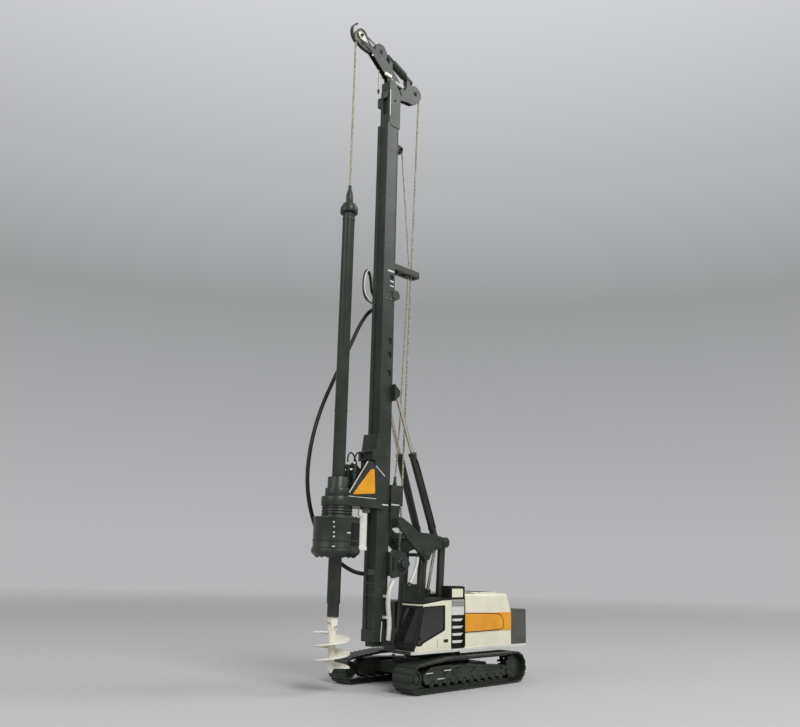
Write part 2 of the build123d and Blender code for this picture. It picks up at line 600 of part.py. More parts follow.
# Front link: two side bars, closed by a plate in the lower half
link_in = LINK_OUT - LINK_THICK
front_link = both(strut(FRONT_FOOT, KNEE_LOW, LINK_EYE_R, link_in, LINK_OUT))
low = shift(FRONT_FOOT, (LINK_VEC[0] * 0.12, LINK_VEC[1] * 0.12))
high = shift(FRONT_FOOT, (LINK_VEC[0] * 0.62, LINK_VEC[1] * 0.62))
web = [shift(low, (0.6, 0)), shift(low, (2.8, 0)), shift(high, (2.8, 0)), shift(high, (0.6, 0))]
front_link += slab(web, -link_in, link_in)
for pin in (FRONT_FOOT, KNEE_LOW):
    front_link -= disc_y(pin, PIN_R + PIN_PLAY, -LINK_OUT - 1, LINK_OUT + 1)
nodes["front_link"] = front_link

# Rear links: two slim bars with a cross tube
rear_link = both(strut(REAR_FOOT, KNEE_REAR, LINK_EYE_R - 0.6, link_in, LINK_OUT))
mid = shift(REAR_FOOT, (LINK_VEC[0] * 0.3, LINK_VEC[1] * 0.3))
rear_link += disc_y(mid, 1.6, -link_in, link_in)
for pin in (REAR_FOOT, KNEE_REAR):
    rear_link -= disc_y(pin, PIN_R + PIN_PLAY, -LINK_OUT - 1, LINK_OUT + 1)
nodes["rear_link"] = rear_link

# Knee: two curved plates, pinned together at its four pins
knee_outline = [shift(KNEE_LOW, v) for v in
                ((-3.6, -2.6), (0.0, -4.4), (3.8, -2.4), (12.5, 4.6), (21.0, 11.0), (29.0, 18.4),
                 (33.8, 21.4), (34.0, 26.6), (29.0, 28.2), (19.5, 23.8), (9.5, 17.4), (-5.5, 17.0),
                 (-19.0, 14.8), (-25.2, 14.0), (-27.2, 10.5), (-25.0, 7.0), (-20.0, 6.2), (-8.0, 3.2))]
plate = slab(knee_outline, KNEE_IN, KNEE_IN + KNEE_THICK)
for pin, boss_r in ((KNEE_REAR, 4.2), (KNEE_LOW, 4.4), (MAST_PIVOT, 3.4)):
    plate += disc_y(pin, boss_r, KNEE_IN, KNEE_IN + KNEE_THICK + KNEE_BOSS)
knee = both(plate)
for pin in (KNEE_LOW, KNEE_REAR, MAST_PIVOT, STAY_FOOT):
    knee += disc_y(pin, PIN_R, -KNEE_IN, KNEE_IN)
knee += disc_y(shift(KNEE_LOW, (12.0, 11.5)), 2.2, -KNEE_IN, KNEE_IN)
nodes["knee"] = knee


def cylinder(foot, head, tube_r, rod_r, tube_run, pin_r, slack):
    """A hydraulic cylinder between two pins: its tube with the lower eye, and its rod."""
    n = (Vector(*head) - Vector(*foot)).length
    tube = rod(foot, along(foot, head, tube_run), tube_r)
    tube += rod(along(foot, head, tube_run - 2.2), along(foot, head, tube_run), tube_r + 0.5)
    eye_half = rod_r + 0.35
    tube += disc_y((foot[0], foot[2]), tube_r, foot[1] - eye_half, foot[1] + eye_half)
    tube -= disc_y((foot[0], foot[2]), pin_r + PIN_PLAY, foot[1] - 5, foot[1] + 5)
    tube -= rod(along(foot, head, tube_run * 0.25), along(foot, head, tube_run + 1), rod_r + 0.1)
    ram = rod(along(foot, head, tube_run * 0.5), along(foot, head, n - pin_r - slack - 0.5), rod_r)
    ram += disc_y((head[0], head[2]), pin_r + slack + 1.1, head[1] - eye_half, head[1] + eye_half)
    ram -= disc_y((head[0], head[2]), pin_r + slack, head[1] - 5, head[1] + 5)
    return tube, ram


luff_tubes, luff_rams = [], []
for y in (LUFF_Y, -LUFF_Y):
    tube, ram = cylinder((LUFF_FOOT[0], y, LUFF_FOOT[1]), (KNEE_REAR[0], y, KNEE_REAR[1]),
                         LUFF_TUBE_R, LUFF_ROD_R, LUFF_TUBE_RUN, LUFF_PIN_R, EYE_SLACK)
    luff_tubes.append(tube)
    luff_rams.append(ram)
nodes["luff_tubes"] = group(luff_tubes)
nodes["luff_rods"] = group(luff_rams)

for side, name in ((1, "left"), (-1, "right")):
    tube, ram = cylinder((STAY_FOOT[0], side * STAY_FOOT_Y, STAY_FOOT[1]),
                         (STAY_HEAD[0], side * STAY_HEAD_Y, STAY_HEAD[1]),
                         STAY_TUBE_R, STAY_ROD_R, STAY_TUBE_RUN, PIN_R, STAY_SLACK)
    nodes["backstay_tube_" + name] = tube
    nodes["backstay_rod_" + name] = ram


# Mast: box section with front rails, foot, joint flanges, pivot bracket and backstay ears
def mast_section(z0, z1):
    """One length of the mast: the box with its two guide rails along the front edges."""
    box = bar(MAST_REAR, BOX_FRONT, -MAST_HALF_WIDTH, MAST_HALF_WIDTH, z0, z1)
    rails = bar(BOX_FRONT, MAST_FRONT, -RAIL_HALF_WIDTH, RAIL_HALF_WIDTH, z0, z1)
    groove = bar(MAST_FRONT - GROOVE_DEPTH, MAST_FRONT, -GROOVE_HALF_WIDTH, GROOVE_HALF_WIDTH, z0, z1)
    return box + rails - groove


def side_slot(z):
    """A blind slot at height z in each of the mast's sides."""
    return both(bar(MAST_REAR + 2.2, MAST_REAR + 2.2 + SLOT_LENGTH, MAST_HALF_WIDTH - SLOT_DEPTH,
                    MAST_HALF_WIDTH + 1, z - SLOT_HALF_HEIGHT, z + SLOT_HALF_HEIGHT))


def joint_flange(z0):
    """The collar at an end of a mast length."""
    half = MAST_HALF_WIDTH + 1.0
    return bar(MAST_REAR - 0.8, BOX_FRONT, -half, half, z0, z0 + FLANGE_THICK)


box_bottom = MAST_FOOT + FOOT_RISE
band_half = RAIL_HALF_WIDTH + 0.35
lower = mast_section(box_bottom, MAST_JOINT) + joint_flange(MAST_JOINT - FLANGE_THICK)
lower += bar(MAST_REAR - 0.8, MAST_FRONT + 0.5, -band_half, band_half, box_bottom, box_bottom + FOOT_BAND)
lower += bar(MAST_REAR + 3.3, MAST_FRONT - 1.8, -MAST_HALF_WIDTH + 1, MAST_HALF_WIDTH - 1, MAST_FOOT, box_bottom)
block_z = MAST_PIVOT[1] + BLOCK_RISE
bracket = bar(MAST_REAR - BLOCK_DEPTH, MAST_REAR, -BLOCK_HALF_WIDTH, BLOCK_HALF_WIDTH, block_z, block_z + BLOCK_HEIGHT)
bracket += slab([(MAST_REAR, block_z), (MAST_REAR, block_z - 20), shift(MAST_PIVOT, (1.5, -4.2)),
                 shift(MAST_PIVOT, (-3.2, -2.6)), shift(MAST_PIVOT, (-4.0, 2.0)),
                 (MAST_REAR - BLOCK_DEPTH + 2.5, block_z)], -BLOCK_HALF_WIDTH, BLOCK_HALF_WIDTH)
bracket += disc_y(MAST_PIVOT, 4.2, -KNEE_IN + RUN_GAP, KNEE_IN - RUN_GAP)
lower += bracket - disc_y(MAST_PIVOT, PIN_R + PIN_PLAY, -KNEE_IN, KNEE_IN)
ear = [(MAST_REAR, STAY_HEAD[1] - 6), (MAST_REAR, STAY_HEAD[1] + 6),
       shift(STAY_HEAD, (-1, 2.2)), shift(STAY_HEAD, (-1, -2.2))]
for y in (STAY_HEAD_Y - 2.9, STAY_HEAD_Y + 2.9):
    lower += both(slab(ear, y - 0.5, y + 0.5))
stay_out = STAY_HEAD_Y + 3.4
lower += bar(MAST_REAR, MAST_REAR + 1, -stay_out, stay_out, STAY_HEAD[1] - 7, STAY_HEAD[1] + 7)
lower += disc_y(STAY_HEAD, PIN_R, -stay_out, stay_out)
for z in (271.7, 259.6, 244.3):
    lower -= side_slot(z)
hinge = both(disc_y((MAST_REAR - 0.6, MAST_JOINT + 1.5), HINGE_R, MAST_HALF_WIDTH - 2.5, MAST_HALF_WIDTH + 1.6))
nodes["mast_lower"] = lower + hinge

upper = mast_section(MAST_JOINT, RAIL_TOP) + joint_flange(MAST_JOINT)
upper += bar(MAST_REAR, BOX_FRONT, -MAST_HALF_WIDTH, MAST_HALF_WIDTH, RAIL_TOP, MAST_TOP)
cover_out = MAST_HALF_WIDTH + COVER_THICK
upper += both(bar(MAST_REAR - 1.2, BOX_FRONT, MAST_HALF_WIDTH, cover_out, COVER_BOTTOM, MAST_TOP))
upper -= both(bar(MAST_REAR + 4.6, MAST_REAR + 6.2, MAST_HALF_WIDTH - 1, cover_out + 1, MAST_TOP - 11, MAST_TOP - 9.4))
upper -= bar(BOX_FRONT - 2.6, BOX_FRONT, -GROOVE_HALF_WIDTH, GROOVE_HALF_WIDTH, *HEAD_SLOT)
upper += bar(BOX_FRONT - 5.5, BOX_FRONT, -MAST_HALF_WIDTH - 4.7, -cover_out, HEAD_SLOT[1] - 9, HEAD_SLOT[1])
upper -= side_slot(GUIDE_ARM_Z - 9.5)
nodes["mast_upper"] = upper - hinge

# Rope guide arm: a round-cornered frame that reaches back from the mast, with two rollers' slots
arm_half = GUIDE_ARM_HALF_WIDTH
arm = bar(GUIDE_ARM_REAR, MAST_REAR, -arm_half, arm_half, GUIDE_ARM_Z, GUIDE_ARM_Z + GUIDE_ARM_THICK)
arm = fillet(arm.edges().filter_by(Axis.Z).sort_by(Axis.X)[0:2], arm_half - 1.5)
for x in (28.0, 38.5):
    arm -= bar(x, x + 7.5, -2.6, 2.6, GUIDE_ARM_Z - 1, GUIDE_ARM_Z + GUIDE_ARM_THICK + 1)
arm += slab([(MAST_REAR, GUIDE_ARM_Z - 6), (MAST_REAR, GUIDE_ARM_Z), (48, GUIDE_ARM_Z)], -1, 1)
nodes["rope_guide_arm"] = arm

# Winch on the mast's rear: two rounded cheeks on the mast and a flanged drum between them
cheek_in = WINCH_HALF_WIDTH + RUN_GAP
cheek_out = cheek_in + WINCH_CHEEK
cheek_low, cheek_high = WINCH[1] - 11.0, WINCH[1] + 11.1
winch_cheek = [(MAST_REAR, cheek_low), (MAST_REAR, cheek_high), shift(WINCH, (-3.4, 9.7)), shift(WINCH, (-9.3, 0.7)),
               shift(WINCH, (-3.8, -7.6)), shift(WINCH, (5.1, -9.9))]
cheeks = both(rounded_slab(winch_cheek, 1.6, cheek_in, cheek_out))
cheeks += both(bar(MAST_REAR - 1.5, MAST_REAR + 2, MAST_HALF_WIDTH, cheek_out, cheek_low + 2, cheek_high - 2))
cheeks += disc_y(WINCH, 1.2, -cheek_in, cheek_in)
nodes["winch_frame"] = cheeks
drum = disc_y(WINCH, WINCH_R - 2.6, -WINCH_HALF_WIDTH, WINCH_HALF_WIDTH)
for y in (-WINCH_HALF_WIDTH, WINCH_HALF_WIDTH - WINCH_FLANGE):
    drum += disc_y(WINCH, WINCH_R, y, y + WINCH_FLANGE)
drum -= disc_y(WINCH, 1.2 + PIN_PLAY, -WINCH_HALF_WIDTH, WINCH_HALF_WIDTH)
nodes["winch_drum"] = drum

# Small sheave on the mast's rear, with its ears
sheave_gap = SHEAVE_HALF_WIDTH + RUN_GAP
ears = both(slab([(MAST_REAR, SMALL_SHEAVE[1] - 4), (MAST_REAR, SMALL_SHEAVE[1] + 4),
                  shift(SMALL_SHEAVE, (-1.5, 2.4)), shift(SMALL_SHEAVE, (-1.5, -2.4))],
                 sheave_gap, sheave_gap + 1))
ears += disc_y(SMALL_SHEAVE, 0.9, -sheave_gap, sheave_gap)
nodes["small_sheave_ears"] = ears


def sheave(c, r, pin_r):
    """A rope wheel: V groove that the rope lies in, rim, thin web where there is room, and hub."""
    half = SHEAVE_HALF_WIDTH
    rim = r + SHEAVE_RIM
    root = r - ROPE_R
    bore = pin_r + PIN_PLAY
    profile = [(bore, -half), (rim, -half), (rim, -half + 0.25), (root, -0.45), (root, 0.45), (rim, half - 0.25),
               (rim, half), (bore, half)]
    wheel = revolve(Plane.XZ * Polygon(*profile, align=None), Axis.Z)
    hub, rim_in = bore + SHEAVE_HUB, root - 0.9
    if rim_in - hub > 1:
        for z in (-half, half - 0.5):
            wheel -= Pos(0, 0, z + 0.25) * (Cylinder(rim_in, 0.5) - Cylinder(hub, 0.5))
    return Pos(c[0], 0, c[1]) * Rot(90, 0, 0) * wheel


SHEAVES = (
    # name, centre, radius at the rope's middle, pin radius
    ("sheave_front", FRONT_SHEAVE, FRONT_SHEAVE_R, 1.2),
    ("sheave_mid", MID_SHEAVE, MID_SHEAVE_R, 1.1),
    ("sheave_rear", REAR_SHEAVE, REAR_SHEAVE_R, 1.2),
    ("sheave_small", SMALL_SHEAVE, SMALL_SHEAVE_R, 0.9),
)
for name, c, r, pin_r in SHEAVES:
    nodes[name] = sheave(c, r, pin_r)


# Mast head: a shoulder on the mast's top and two slim plates that carry the sheaves
def over_mast(points):
    """Outline points given as (x, height above the mast's top)."""
    return [(x, MAST_TOP + h) for x, h in points]


def about(c, points):
    """Outline points given from a sheave's centre c."""
    return [shift(c, v) for v in points]


head_in = HEAD_PLATE_IN
head_out = HEAD_PLATE_IN + HEAD_PLATE_THICK
eye_out = FRONT_SHEAVE_R + 0.5
eye_in = eye_out - EYE_RIM
head_outline = over_mast([(MAST_REAR, 0), (BOX_FRONT, 0), (BOX_FRONT, 7.2), (69.9, 11.4), (78.3, 17.7)])
head_outline += about(FRONT_SHEAVE, [(-10.8, -10.6), (2.2, -5.5), (-5.6, 1.8), (-8.3, -2.5), (-16.2, -6.8)])
head_outline += about(MID_SHEAVE, [(7.0, 4.0), (3.0, 7.5), (-3.0, 7.5), (-7.0, 2.5), (-6.3, -4.7)])
head_outline += over_mast([(60.2, 19.3), (47.5, 8.6)])
head_outline += about(REAR_SHEAVE, [(10.0, 6.0), (-2.0, 7.0), (-7.0, 0.5), (-4.5, -7.5), (4.0, -13.0)])
head_outline += over_mast([(45.4, -1.6), (56.2, -4.3), (MAST_REAR, -2.0)])
plate = slab(head_outline, head_in, head_out)
plate += disc_y(FRONT_SHEAVE, eye_out, head_in, head_out)
plate += disc_y(REAR_SHEAVE, REAR_SHEAVE_R + SHEAVE_RIM + 0.3, head_in, head_out)
tear_tip = (-9.1, -5.0)
tear = about(FRONT_SHEAVE, [tear_tip, (0.2, -eye_in), (0.0, 0.0), (-eye_in * 0.82, eye_in * 0.57)])
plate -= rounded_slab(over_mast([(56.8, 3.9), (49.6, 0.8), (54.2, 7.0)]), 0.5, head_in - 1, head_out + 1)
head = both(plate) - slab(tear, head_in - 1, head_out + 1) - disc_y(FRONT_SHEAVE, eye_in, head_in - 1, head_out + 1)
shoulder = over_mast([(MAST_REAR, 0), (BOX_FRONT, 0), (BOX_FRONT, 8), (64, 10), (MAST_REAR, 2)])
head += slab(shoulder, -MAST_HALF_WIDTH, MAST_HALF_WIDTH)
for name, c, r, pin_r in SHEAVES[:3]:
    head += disc_y(c, pin_r, -head_in, head_out)
spacers = about(FRONT_SHEAVE, [(-12.9, -7.6)]) + over_mast([(74.5, 21.5), (46.5, 3.0)])
for spacer in spacers:
    head += disc_y(spacer, 1.5, -head_in, head_in)


def top_line(a, ra, b, rb):
    """The rope's straight run over two wheels, from a at the rear to b: a point on it and its angle."""
    dx, dz = b[0] - a[0], b[1] - a[1]
    lean = atan2(dz, dx) - asin((ra - rb) / hypot(dx, dz))
    return shift(a, (-ra * sin(lean), ra * cos(lean))), lean


# Guard tube round the rope's run between the middle and rear sheaves, on two saddles
rope_start, rope_lean = top_line(REAR_SHEAVE, REAR_SHEAVE_R, MID_SHEAVE, MID_SHEAVE_R)


def on_rope(x):
    """The rope's place (x, y, z) at x on that run."""
    return (x, 0, rope_start[1] + (x - rope_start[0]) * tan(rope_lean))


tube_rear, tube_front = on_rope(HEAD_TUBE_X[0]), on_rope(HEAD_TUBE_X[1])
nodes["head_tube"] = (rod(tube_rear, tube_front, HEAD_TUBE_R)
                      - rod(on_rope(HEAD_TUBE_X[0] - 1), on_rope(HEAD_TUBE_X[1] + 1), HEAD_TUBE_R - HEAD_TUBE_WALL))
for x in SADDLES_X:
    top_z = on_rope(x)[2]
    head += bar(x - SADDLE_HALF, x + SADDLE_HALF, -head_out, head_out, top_z - HEAD_TUBE_R - SADDLE_DEPTH, top_z - 1)
head -= rod(on_rope(HEAD_TUBE_X[0] - 1), on_rope(HEAD_TUBE_X[1] + 1), HEAD_TUBE_R + FIT)
nodes["mast_head"] = head

# Rope guard: an arc round the front sheave on an arm under the plates, with a slot for the rope
guard_in, guard_out = GUARD_R - GUARD_THICK / 2, GUARD_R + GUARD_THICK / 2
guard_outline = arc_points(FRONT_SHEAVE, guard_out, 63, -50, 12)
guard_outline += about(FRONT_SHEAVE, [(-1.6, -11.4), (-10.2, -12.2), (-13.0, -9.6), (-8.0, -9.5), (-1.0, -9.1)])
guard_outline += arc_points(FRONT_SHEAVE, guard_in, -50, 63, 12)
guard = slab(guard_outline, -head_in, head_in)
guard -= bar(KELLY_X - 1.1, KELLY_X + 1.1, -ROPE_R - 0.3, ROPE_R + 0.3, FRONT_SHEAVE[1] - 14, FRONT_SHEAVE[1] - 4)
nodes["rope_guard"] = guard

# Drive carriage: cheeks that run on the mast's rails, back, gussets, plate and hood
fork_in = RAIL_HALF_WIDTH + RUN_GAP
fork_out = fork_in + FORK_THICK
fork_rear = BOX_FRONT - FORK_REAR
fork_front = MAST_FRONT + FORK_FRONT
back_rear = MAST_FRONT + RUN_GAP
plate_bottom = PLATE_TOP - PLATE_THICK
fork = both(slab([(fork_rear, plate_bottom), (fork_front, plate_bottom), (fork_front, HOOD_BOTTOM),
                  (back_rear, HOOD_BOTTOM), (back_rear, HOOD_TOP - 4), (fork_rear, HOOD_TOP - 4)], fork_in, fork_out))
claw = bar(fork_rear + 0.6, BOX_FRONT - RUN_GAP, MAST_HALF_WIDTH + RUN_GAP, fork_in, plate_bottom,
           plate_bottom + CLAW_HEIGHT)
fork += both(claw) + both(Pos(0, 0, CLAW_PITCH) * claw)
nodes["drive_carriage"] = fork + bar(back_rear, fork_front, -fork_in, fork_in, plate_bottom, HOOD_BOTTOM)

gusset = [(KELLY_X - 1.5, PLATE_TOP), (KELLY_X - 3.0, PLATE_TOP + 2.6), (86.0, 168.8), (82.3, 168.8), (66.5, 157.5),
          (BOX_FRONT + 2.0, PLATE_TOP + 1), (fork_front, PLATE_TOP)]
gusset_out = fork_out + GUSSET_THICK
nodes["drive_gussets"] = both(slab(gusset, fork_out, gusset_out))

kelly_hole = disc_z(KELLY_X, 0, KELLY_R + KELLY_PLAY, FLANGE_BOTTOM - 1, BUSH_TOP + 1)
plate = bar(fork_front, KELLY_X, -PLATE_R, PLATE_R, plate_bottom, PLATE_TOP)
plate += disc_z(KELLY_X, 0, PLATE_R, plate_bottom, PLATE_TOP)
nodes["drive_plate"] = plate - kelly_hole
bush = disc_z(KELLY_X, 0, BUSH_R, PLATE_TOP, BUSH_TOP)
bush += disc_z(KELLY_X, 0, BUSH_R + BUSH_RING, PLATE_TOP, PLATE_TOP + BUSH_RING_HEIGHT)
nodes["guide_bush"] = bush - kelly_hole - both(slab(gusset, fork_out, gusset_out + 1))
gear = disc_z(KELLY_X, 0, NECK_R, DRUM_TOP, plate_bottom)
gear += disc_z(KELLY_X, 0, DRUM_R, DRUM_BOTTOM, DRUM_TOP)
gear += disc_z(KELLY_X, 0, DRUM_R + 0.5, DRUM_TOP - DRUM_BAND, DRUM_TOP)
flange = disc_z(KELLY_X, 0, FLANGE_R, FLANGE_BOTTOM, DRUM_BOTTOM)
gear += chamfer(flange.edges().group_by(Axis.Z)[0], FLANGE_BEVEL)
nodes["drive_drum"] = gear - kelly_hole
hood = slab([(back_rear, HOOD_BOTTOM), (MAST_FRONT + 8.0, HOOD_BOTTOM), (MAST_FRONT + 8.0, 177.6),
             (MAST_FRONT + 4.6, 179.4), (MAST_FRONT + 2.8, HOOD_TOP), (back_rear, HOOD_TOP)], -fork_out, fork_out)
hood -= bar(MAST_FRONT + 5.6, MAST_FRONT + 9, -6.4, 6.4, HOOD_BOTTOM + 1.2, 177.0)
nodes["drive_hood"] = hood
motors = []
for y in (-MOTOR_Y, MOTOR_Y):
    motors.append(disc_z(MOTOR_X, y, MOTOR_R, PLATE_TOP, PLATE_TOP + 18)
                  + disc_z(MOTOR_X, y, MOTOR_R - 0.6, PLATE_TOP + 18, PLATE_TOP + 26))
nodes["drive_motors"] = group(motors)

# Kelly bar: outer tube, its narrower foot, collar; the swivel hangs on the rope above it
kelly = disc_z(KELLY_X, 0, KELLY_R, KELLY_BOTTOM + KELLY_STEP, KELLY_TOP)
kelly += disc_z(KELLY_X, 0, KELLY_R - KELLY_NECK, KELLY_BOTTOM, KELLY_BOTTOM + KELLY_STEP)
kelly += disc_z(KELLY_X, 0, COLLAR_R, KELLY_TOP, COLLAR_TOP - COLLAR_STEP)
kelly += disc_z(KELLY_X, 0, COLLAR_R - 1.6, COLLAR_TOP - COLLAR_STEP, COLLAR_TOP)
nodes["kelly_bar"] = kelly
cone_bottom = COLLAR_TOP + 9
swivel = disc_z(KELLY_X, 0, SWIVEL_R, COLLAR_TOP + 0.3, cone_bottom)
swivel += Pos(KELLY_X, 0, cone_bottom + 2.5) * Cone(SWIVEL_R, SWIVEL_NECK_R, 5)
swivel += disc_z(KELLY_X, 0, SWIVEL_NECK_R, cone_bottom + 5, SWIVEL_TOP)
nodes["rope_swivel"] = swivel


def helical_flight(r_in, r_out, pitch, turns, thick):
    """A right-handed screw flight about Z: the ruled strip between two helices, made thick."""
    strip = Face.make_surface_from_curves(Edge.make_helix(pitch, pitch * turns, r_in),
                                          Edge.make_helix(pitch, pitch * turns, r_out))
    return extrude(strip, thick, dir=(0, 0, 1))


# Auger: square box, stem with its flight, and the pilot point
auger = Cylinder(AUGER_STEM_R, BOX_BOTTOM - AUGER_BOTTOM - AUGER_POINT)
auger = Pos(0, 0, (BOX_BOTTOM + AUGER_BOTTOM + AUGER_POINT) / 2) * auger
flight_start = AUGER_BOTTOM + AUGER_POINT
flight_turns = (FLIGHT_TOP - FLIGHT_THICK - flight_start) / FLIGHT_PITCH
flight = helical_flight(AUGER_STEM_R / 2, AUGER_R, FLIGHT_PITCH, flight_turns, FLIGHT_THICK)
auger += Pos(0, 0, flight_start) * Rot(0, 0, FLIGHT_END_ANGLE - 360 * flight_turns) * flight
auger += bar(-BOX_HALF, BOX_HALF, -BOX_HALF, BOX_HALF, BOX_BOTTOM, KELLY_BOTTOM)
auger += Pos(0, 0, AUGER_BOTTOM + AUGER_POINT / 2) * Cone(0.6, AUGER_STEM_R, AUGER_POINT)
nodes["auger"] = Pos(KELLY_X, 0, 0) * auger


def soft_path(route):
    """Straight runs through the route's points, joined by arcs as large as the runs allow."""
    v = [Vector(*p) for p in route]
    radii = []
    for a, b, c in zip(v, v[1:], v[2:]):
        half_turn = radians((b - a).get_angle(c - b)) / 2
        radii.append(0.45 * min((b - a).length, (c - b).length) / tan(half_turn))
    return FilletPolyline(*route, radius=radii), radii


def tube_along(route, r):
    """A round tube of radius r along the route."""
    path, radii = soft_path(route)
    face = Plane(origin=route[0], z_dir=Vector(*route[1]) - Vector(*route[0])) * Circle(r)
    tube = sweep(face, path=path)
    print("radii", [round(x, 1) for x in radii], "length", round(path.length, 1),
          "volume ratio", round(tube.volume / (pi * r * r * path.length), 4))
    return tube


# Silver pipe on the mast's left side, from the winch's cheek down to the mast's foot
pipe_top = shift(WINCH, (8.8, -12.4))
pipe_route = [(x, PIPE_Y, z) for x, z in (pipe_top, (59.0, 72.2), (60.2, 61.1), (57.6, 48.6),
                                          (MAST_REAR + 1.5, box_bottom + 1))]
pipe = tube_along(pipe_route, PIPE_R)
for z in (66.5, 51.0):
    pipe += bar(MAST_REAR + 0.4, MAST_REAR + 4.6, MAST_HALF_WIDTH, PIPE_Y, z, z + 2)
nodes["silver_pipes"] = pipe

# Big hose: a free loop on the mast's right, from a gland at half height to one near the foot
HOSE_D = 3.2
HOSE_PLANE = -(FLANGE_R + 6.5)
HOSE_TOP_Z = 303.0
HOSE_LOW_Z = 84.0
GLAND = 2.5
side_y = -MAST_HALF_WIDTH
hose_route = [
    (62.0, side_y - GLAND, HOSE_TOP_Z),
    (63.5, -16.0, 304.0), (70.0, -22.0, 291.0), (79.0, HOSE_PLANE, 268.0), (93.0, HOSE_PLANE - 1, 240.0),
    (107.0, HOSE_PLANE - 2, 209.0), (115.5, HOSE_PLANE - 2, 177.0), (116.5, HOSE_PLANE - 2, 147.0),
    (108.0, HOSE_PLANE - 1, 119.0), (93.0, HOSE_PLANE, 99.0), (76.0, -21.0, 87.0), (65.0, -14.0, 83.0),
    (63.0, side_y - GLAND, HOSE_LOW_Z),
]
nodes["hose_tube"] = tube_along(hose_route, HOSE_D / 2)
glands = []
for end, inward in ((hose_route[0], hose_route[1]), (hose_route[-1], hose_route[-2])):
    direction = (Vector(*end) - Vector(*inward)).normalized()
    root = tuple(Vector(*end) + direction * 6)
    gland = rod(end, root, HOSE_D / 2 + 0.6)
    gland -= bar(MAST_REAR - 10, MAST_FRONT + 10, side_y, MAST_HALF_WIDTH, end[2] - 20, end[2] + 20)
    glands.append(gland)
nodes["hose_glands"] = group(glands)

os.makedirs("parts", exist_ok=True)
for name, solid in nodes.items():
    export_step(Location((SLEW_X, 0, 0)) * solid, f"parts/{name}.step")
print(len(nodes), "nodes; slew axis at x =", round(SLEW_X, 2))
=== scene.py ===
# %% [markdown]
# # Dressing a 1:50 die-cast rotary piling rig
#
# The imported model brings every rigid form: tracks, cab, linkage, mast, drive, kelly bar and
# auger. This lesson paints them and adds what a model maker adds last: rope, hose, seals, bolts
# and small plates. Sizes are in metres, and MM turns the millimetres of the real model into
# them.

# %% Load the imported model
import json
from math import cos, pi, radians, sin

import bmesh
import bpy
import numpy as np
from mathutils import Matrix, Vector


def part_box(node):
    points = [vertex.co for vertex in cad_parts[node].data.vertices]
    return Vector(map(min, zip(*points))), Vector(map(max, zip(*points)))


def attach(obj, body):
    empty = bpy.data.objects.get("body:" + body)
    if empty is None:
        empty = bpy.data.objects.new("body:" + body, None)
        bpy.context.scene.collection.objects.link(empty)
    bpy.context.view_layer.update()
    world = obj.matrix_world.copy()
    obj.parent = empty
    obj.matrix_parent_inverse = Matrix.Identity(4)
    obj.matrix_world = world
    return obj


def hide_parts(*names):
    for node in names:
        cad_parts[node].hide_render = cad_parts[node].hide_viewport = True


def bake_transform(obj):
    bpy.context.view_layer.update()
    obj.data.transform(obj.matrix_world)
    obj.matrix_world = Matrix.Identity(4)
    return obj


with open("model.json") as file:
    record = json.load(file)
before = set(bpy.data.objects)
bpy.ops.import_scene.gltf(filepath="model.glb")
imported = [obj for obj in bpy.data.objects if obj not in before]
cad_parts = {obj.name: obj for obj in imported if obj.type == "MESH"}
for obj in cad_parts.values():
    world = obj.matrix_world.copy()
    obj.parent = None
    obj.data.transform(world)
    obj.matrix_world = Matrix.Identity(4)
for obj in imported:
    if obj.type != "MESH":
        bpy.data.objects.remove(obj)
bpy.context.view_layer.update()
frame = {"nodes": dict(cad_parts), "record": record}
nodes = frame["nodes"]
MM = 0.001


SLEW_X = sum(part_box("slew_ring"), Vector()).x / 2


def span(node):
    """A node's lowest and highest corner in millimetres about the slew axis."""
    return [(np.array(corner) - (SLEW_X, 0, 0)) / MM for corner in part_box(node)]


# %% [markdown]
# ## The camera
#
# A photograph fixes a camera completely: where it stands, where it looks and how wide it sees.
# These numbers were worked out from known points of the model. A small model shot from its own
# height looks up at its mast, so the camera stands 9 cm above the floor and tilts up 14 degrees.

# %% Camera
CAMERA_AT = Vector((SLEW_X + 518.7 * MM, 468.0 * MM, 88.7 * MM))
CAMERA_YAW, CAMERA_PITCH, CAMERA_ROLL = -2.3639, 0.2467, 0.0225
FOCAL_PIXELS, FRAME_PIXELS = 812.3, 800

look = Vector((cos(CAMERA_YAW) * cos(CAMERA_PITCH), sin(CAMERA_YAW) * cos(CAMERA_PITCH), sin(CAMERA_PITCH)))
level_right = look.cross(Vector((0, 0, 1))).normalized()
level_up = level_right.cross(look)
right = level_right * cos(CAMERA_ROLL) + level_up * sin(CAMERA_ROLL)
up = right.cross(look)
lens = bpy.data.cameras.new("camera")
lens.lens = lens.sensor_width * FOCAL_PIXELS / FRAME_PIXELS
lens.clip_start, lens.clip_end = 0.01, 20
camera = bpy.data.objects.new("camera", lens)
camera.matrix_world = Matrix.Translation(CAMERA_AT) @ Matrix((right, up, -look)).transposed().to_4x4()
bpy.context.scene.collection.objects.link(camera)
bpy.context.scene.camera = camera
print("lens", round(lens.lens, 2), "mm")

# %% [markdown]
# ## Small tools for materials
#
# Colours are picked as sRGB hex values, as paint charts give them, and the shader wants linear
# light, so one function converts them. Another adds a shader node with its settings and links in
# one call, which keeps each recipe short enough to read.

# %% Material tools
def linear(hex_colour):
    """The linear colour of an sRGB hex value: each channel through the sRGB curve."""
    value = np.array([int(hex_colour[i:i + 2], 16) for i in (1, 3, 5)]) / 255
    return (*np.where(value <= 0.04045, value / 12.92, ((value + 0.055) / 1.055) ** 2.4), 1.0)


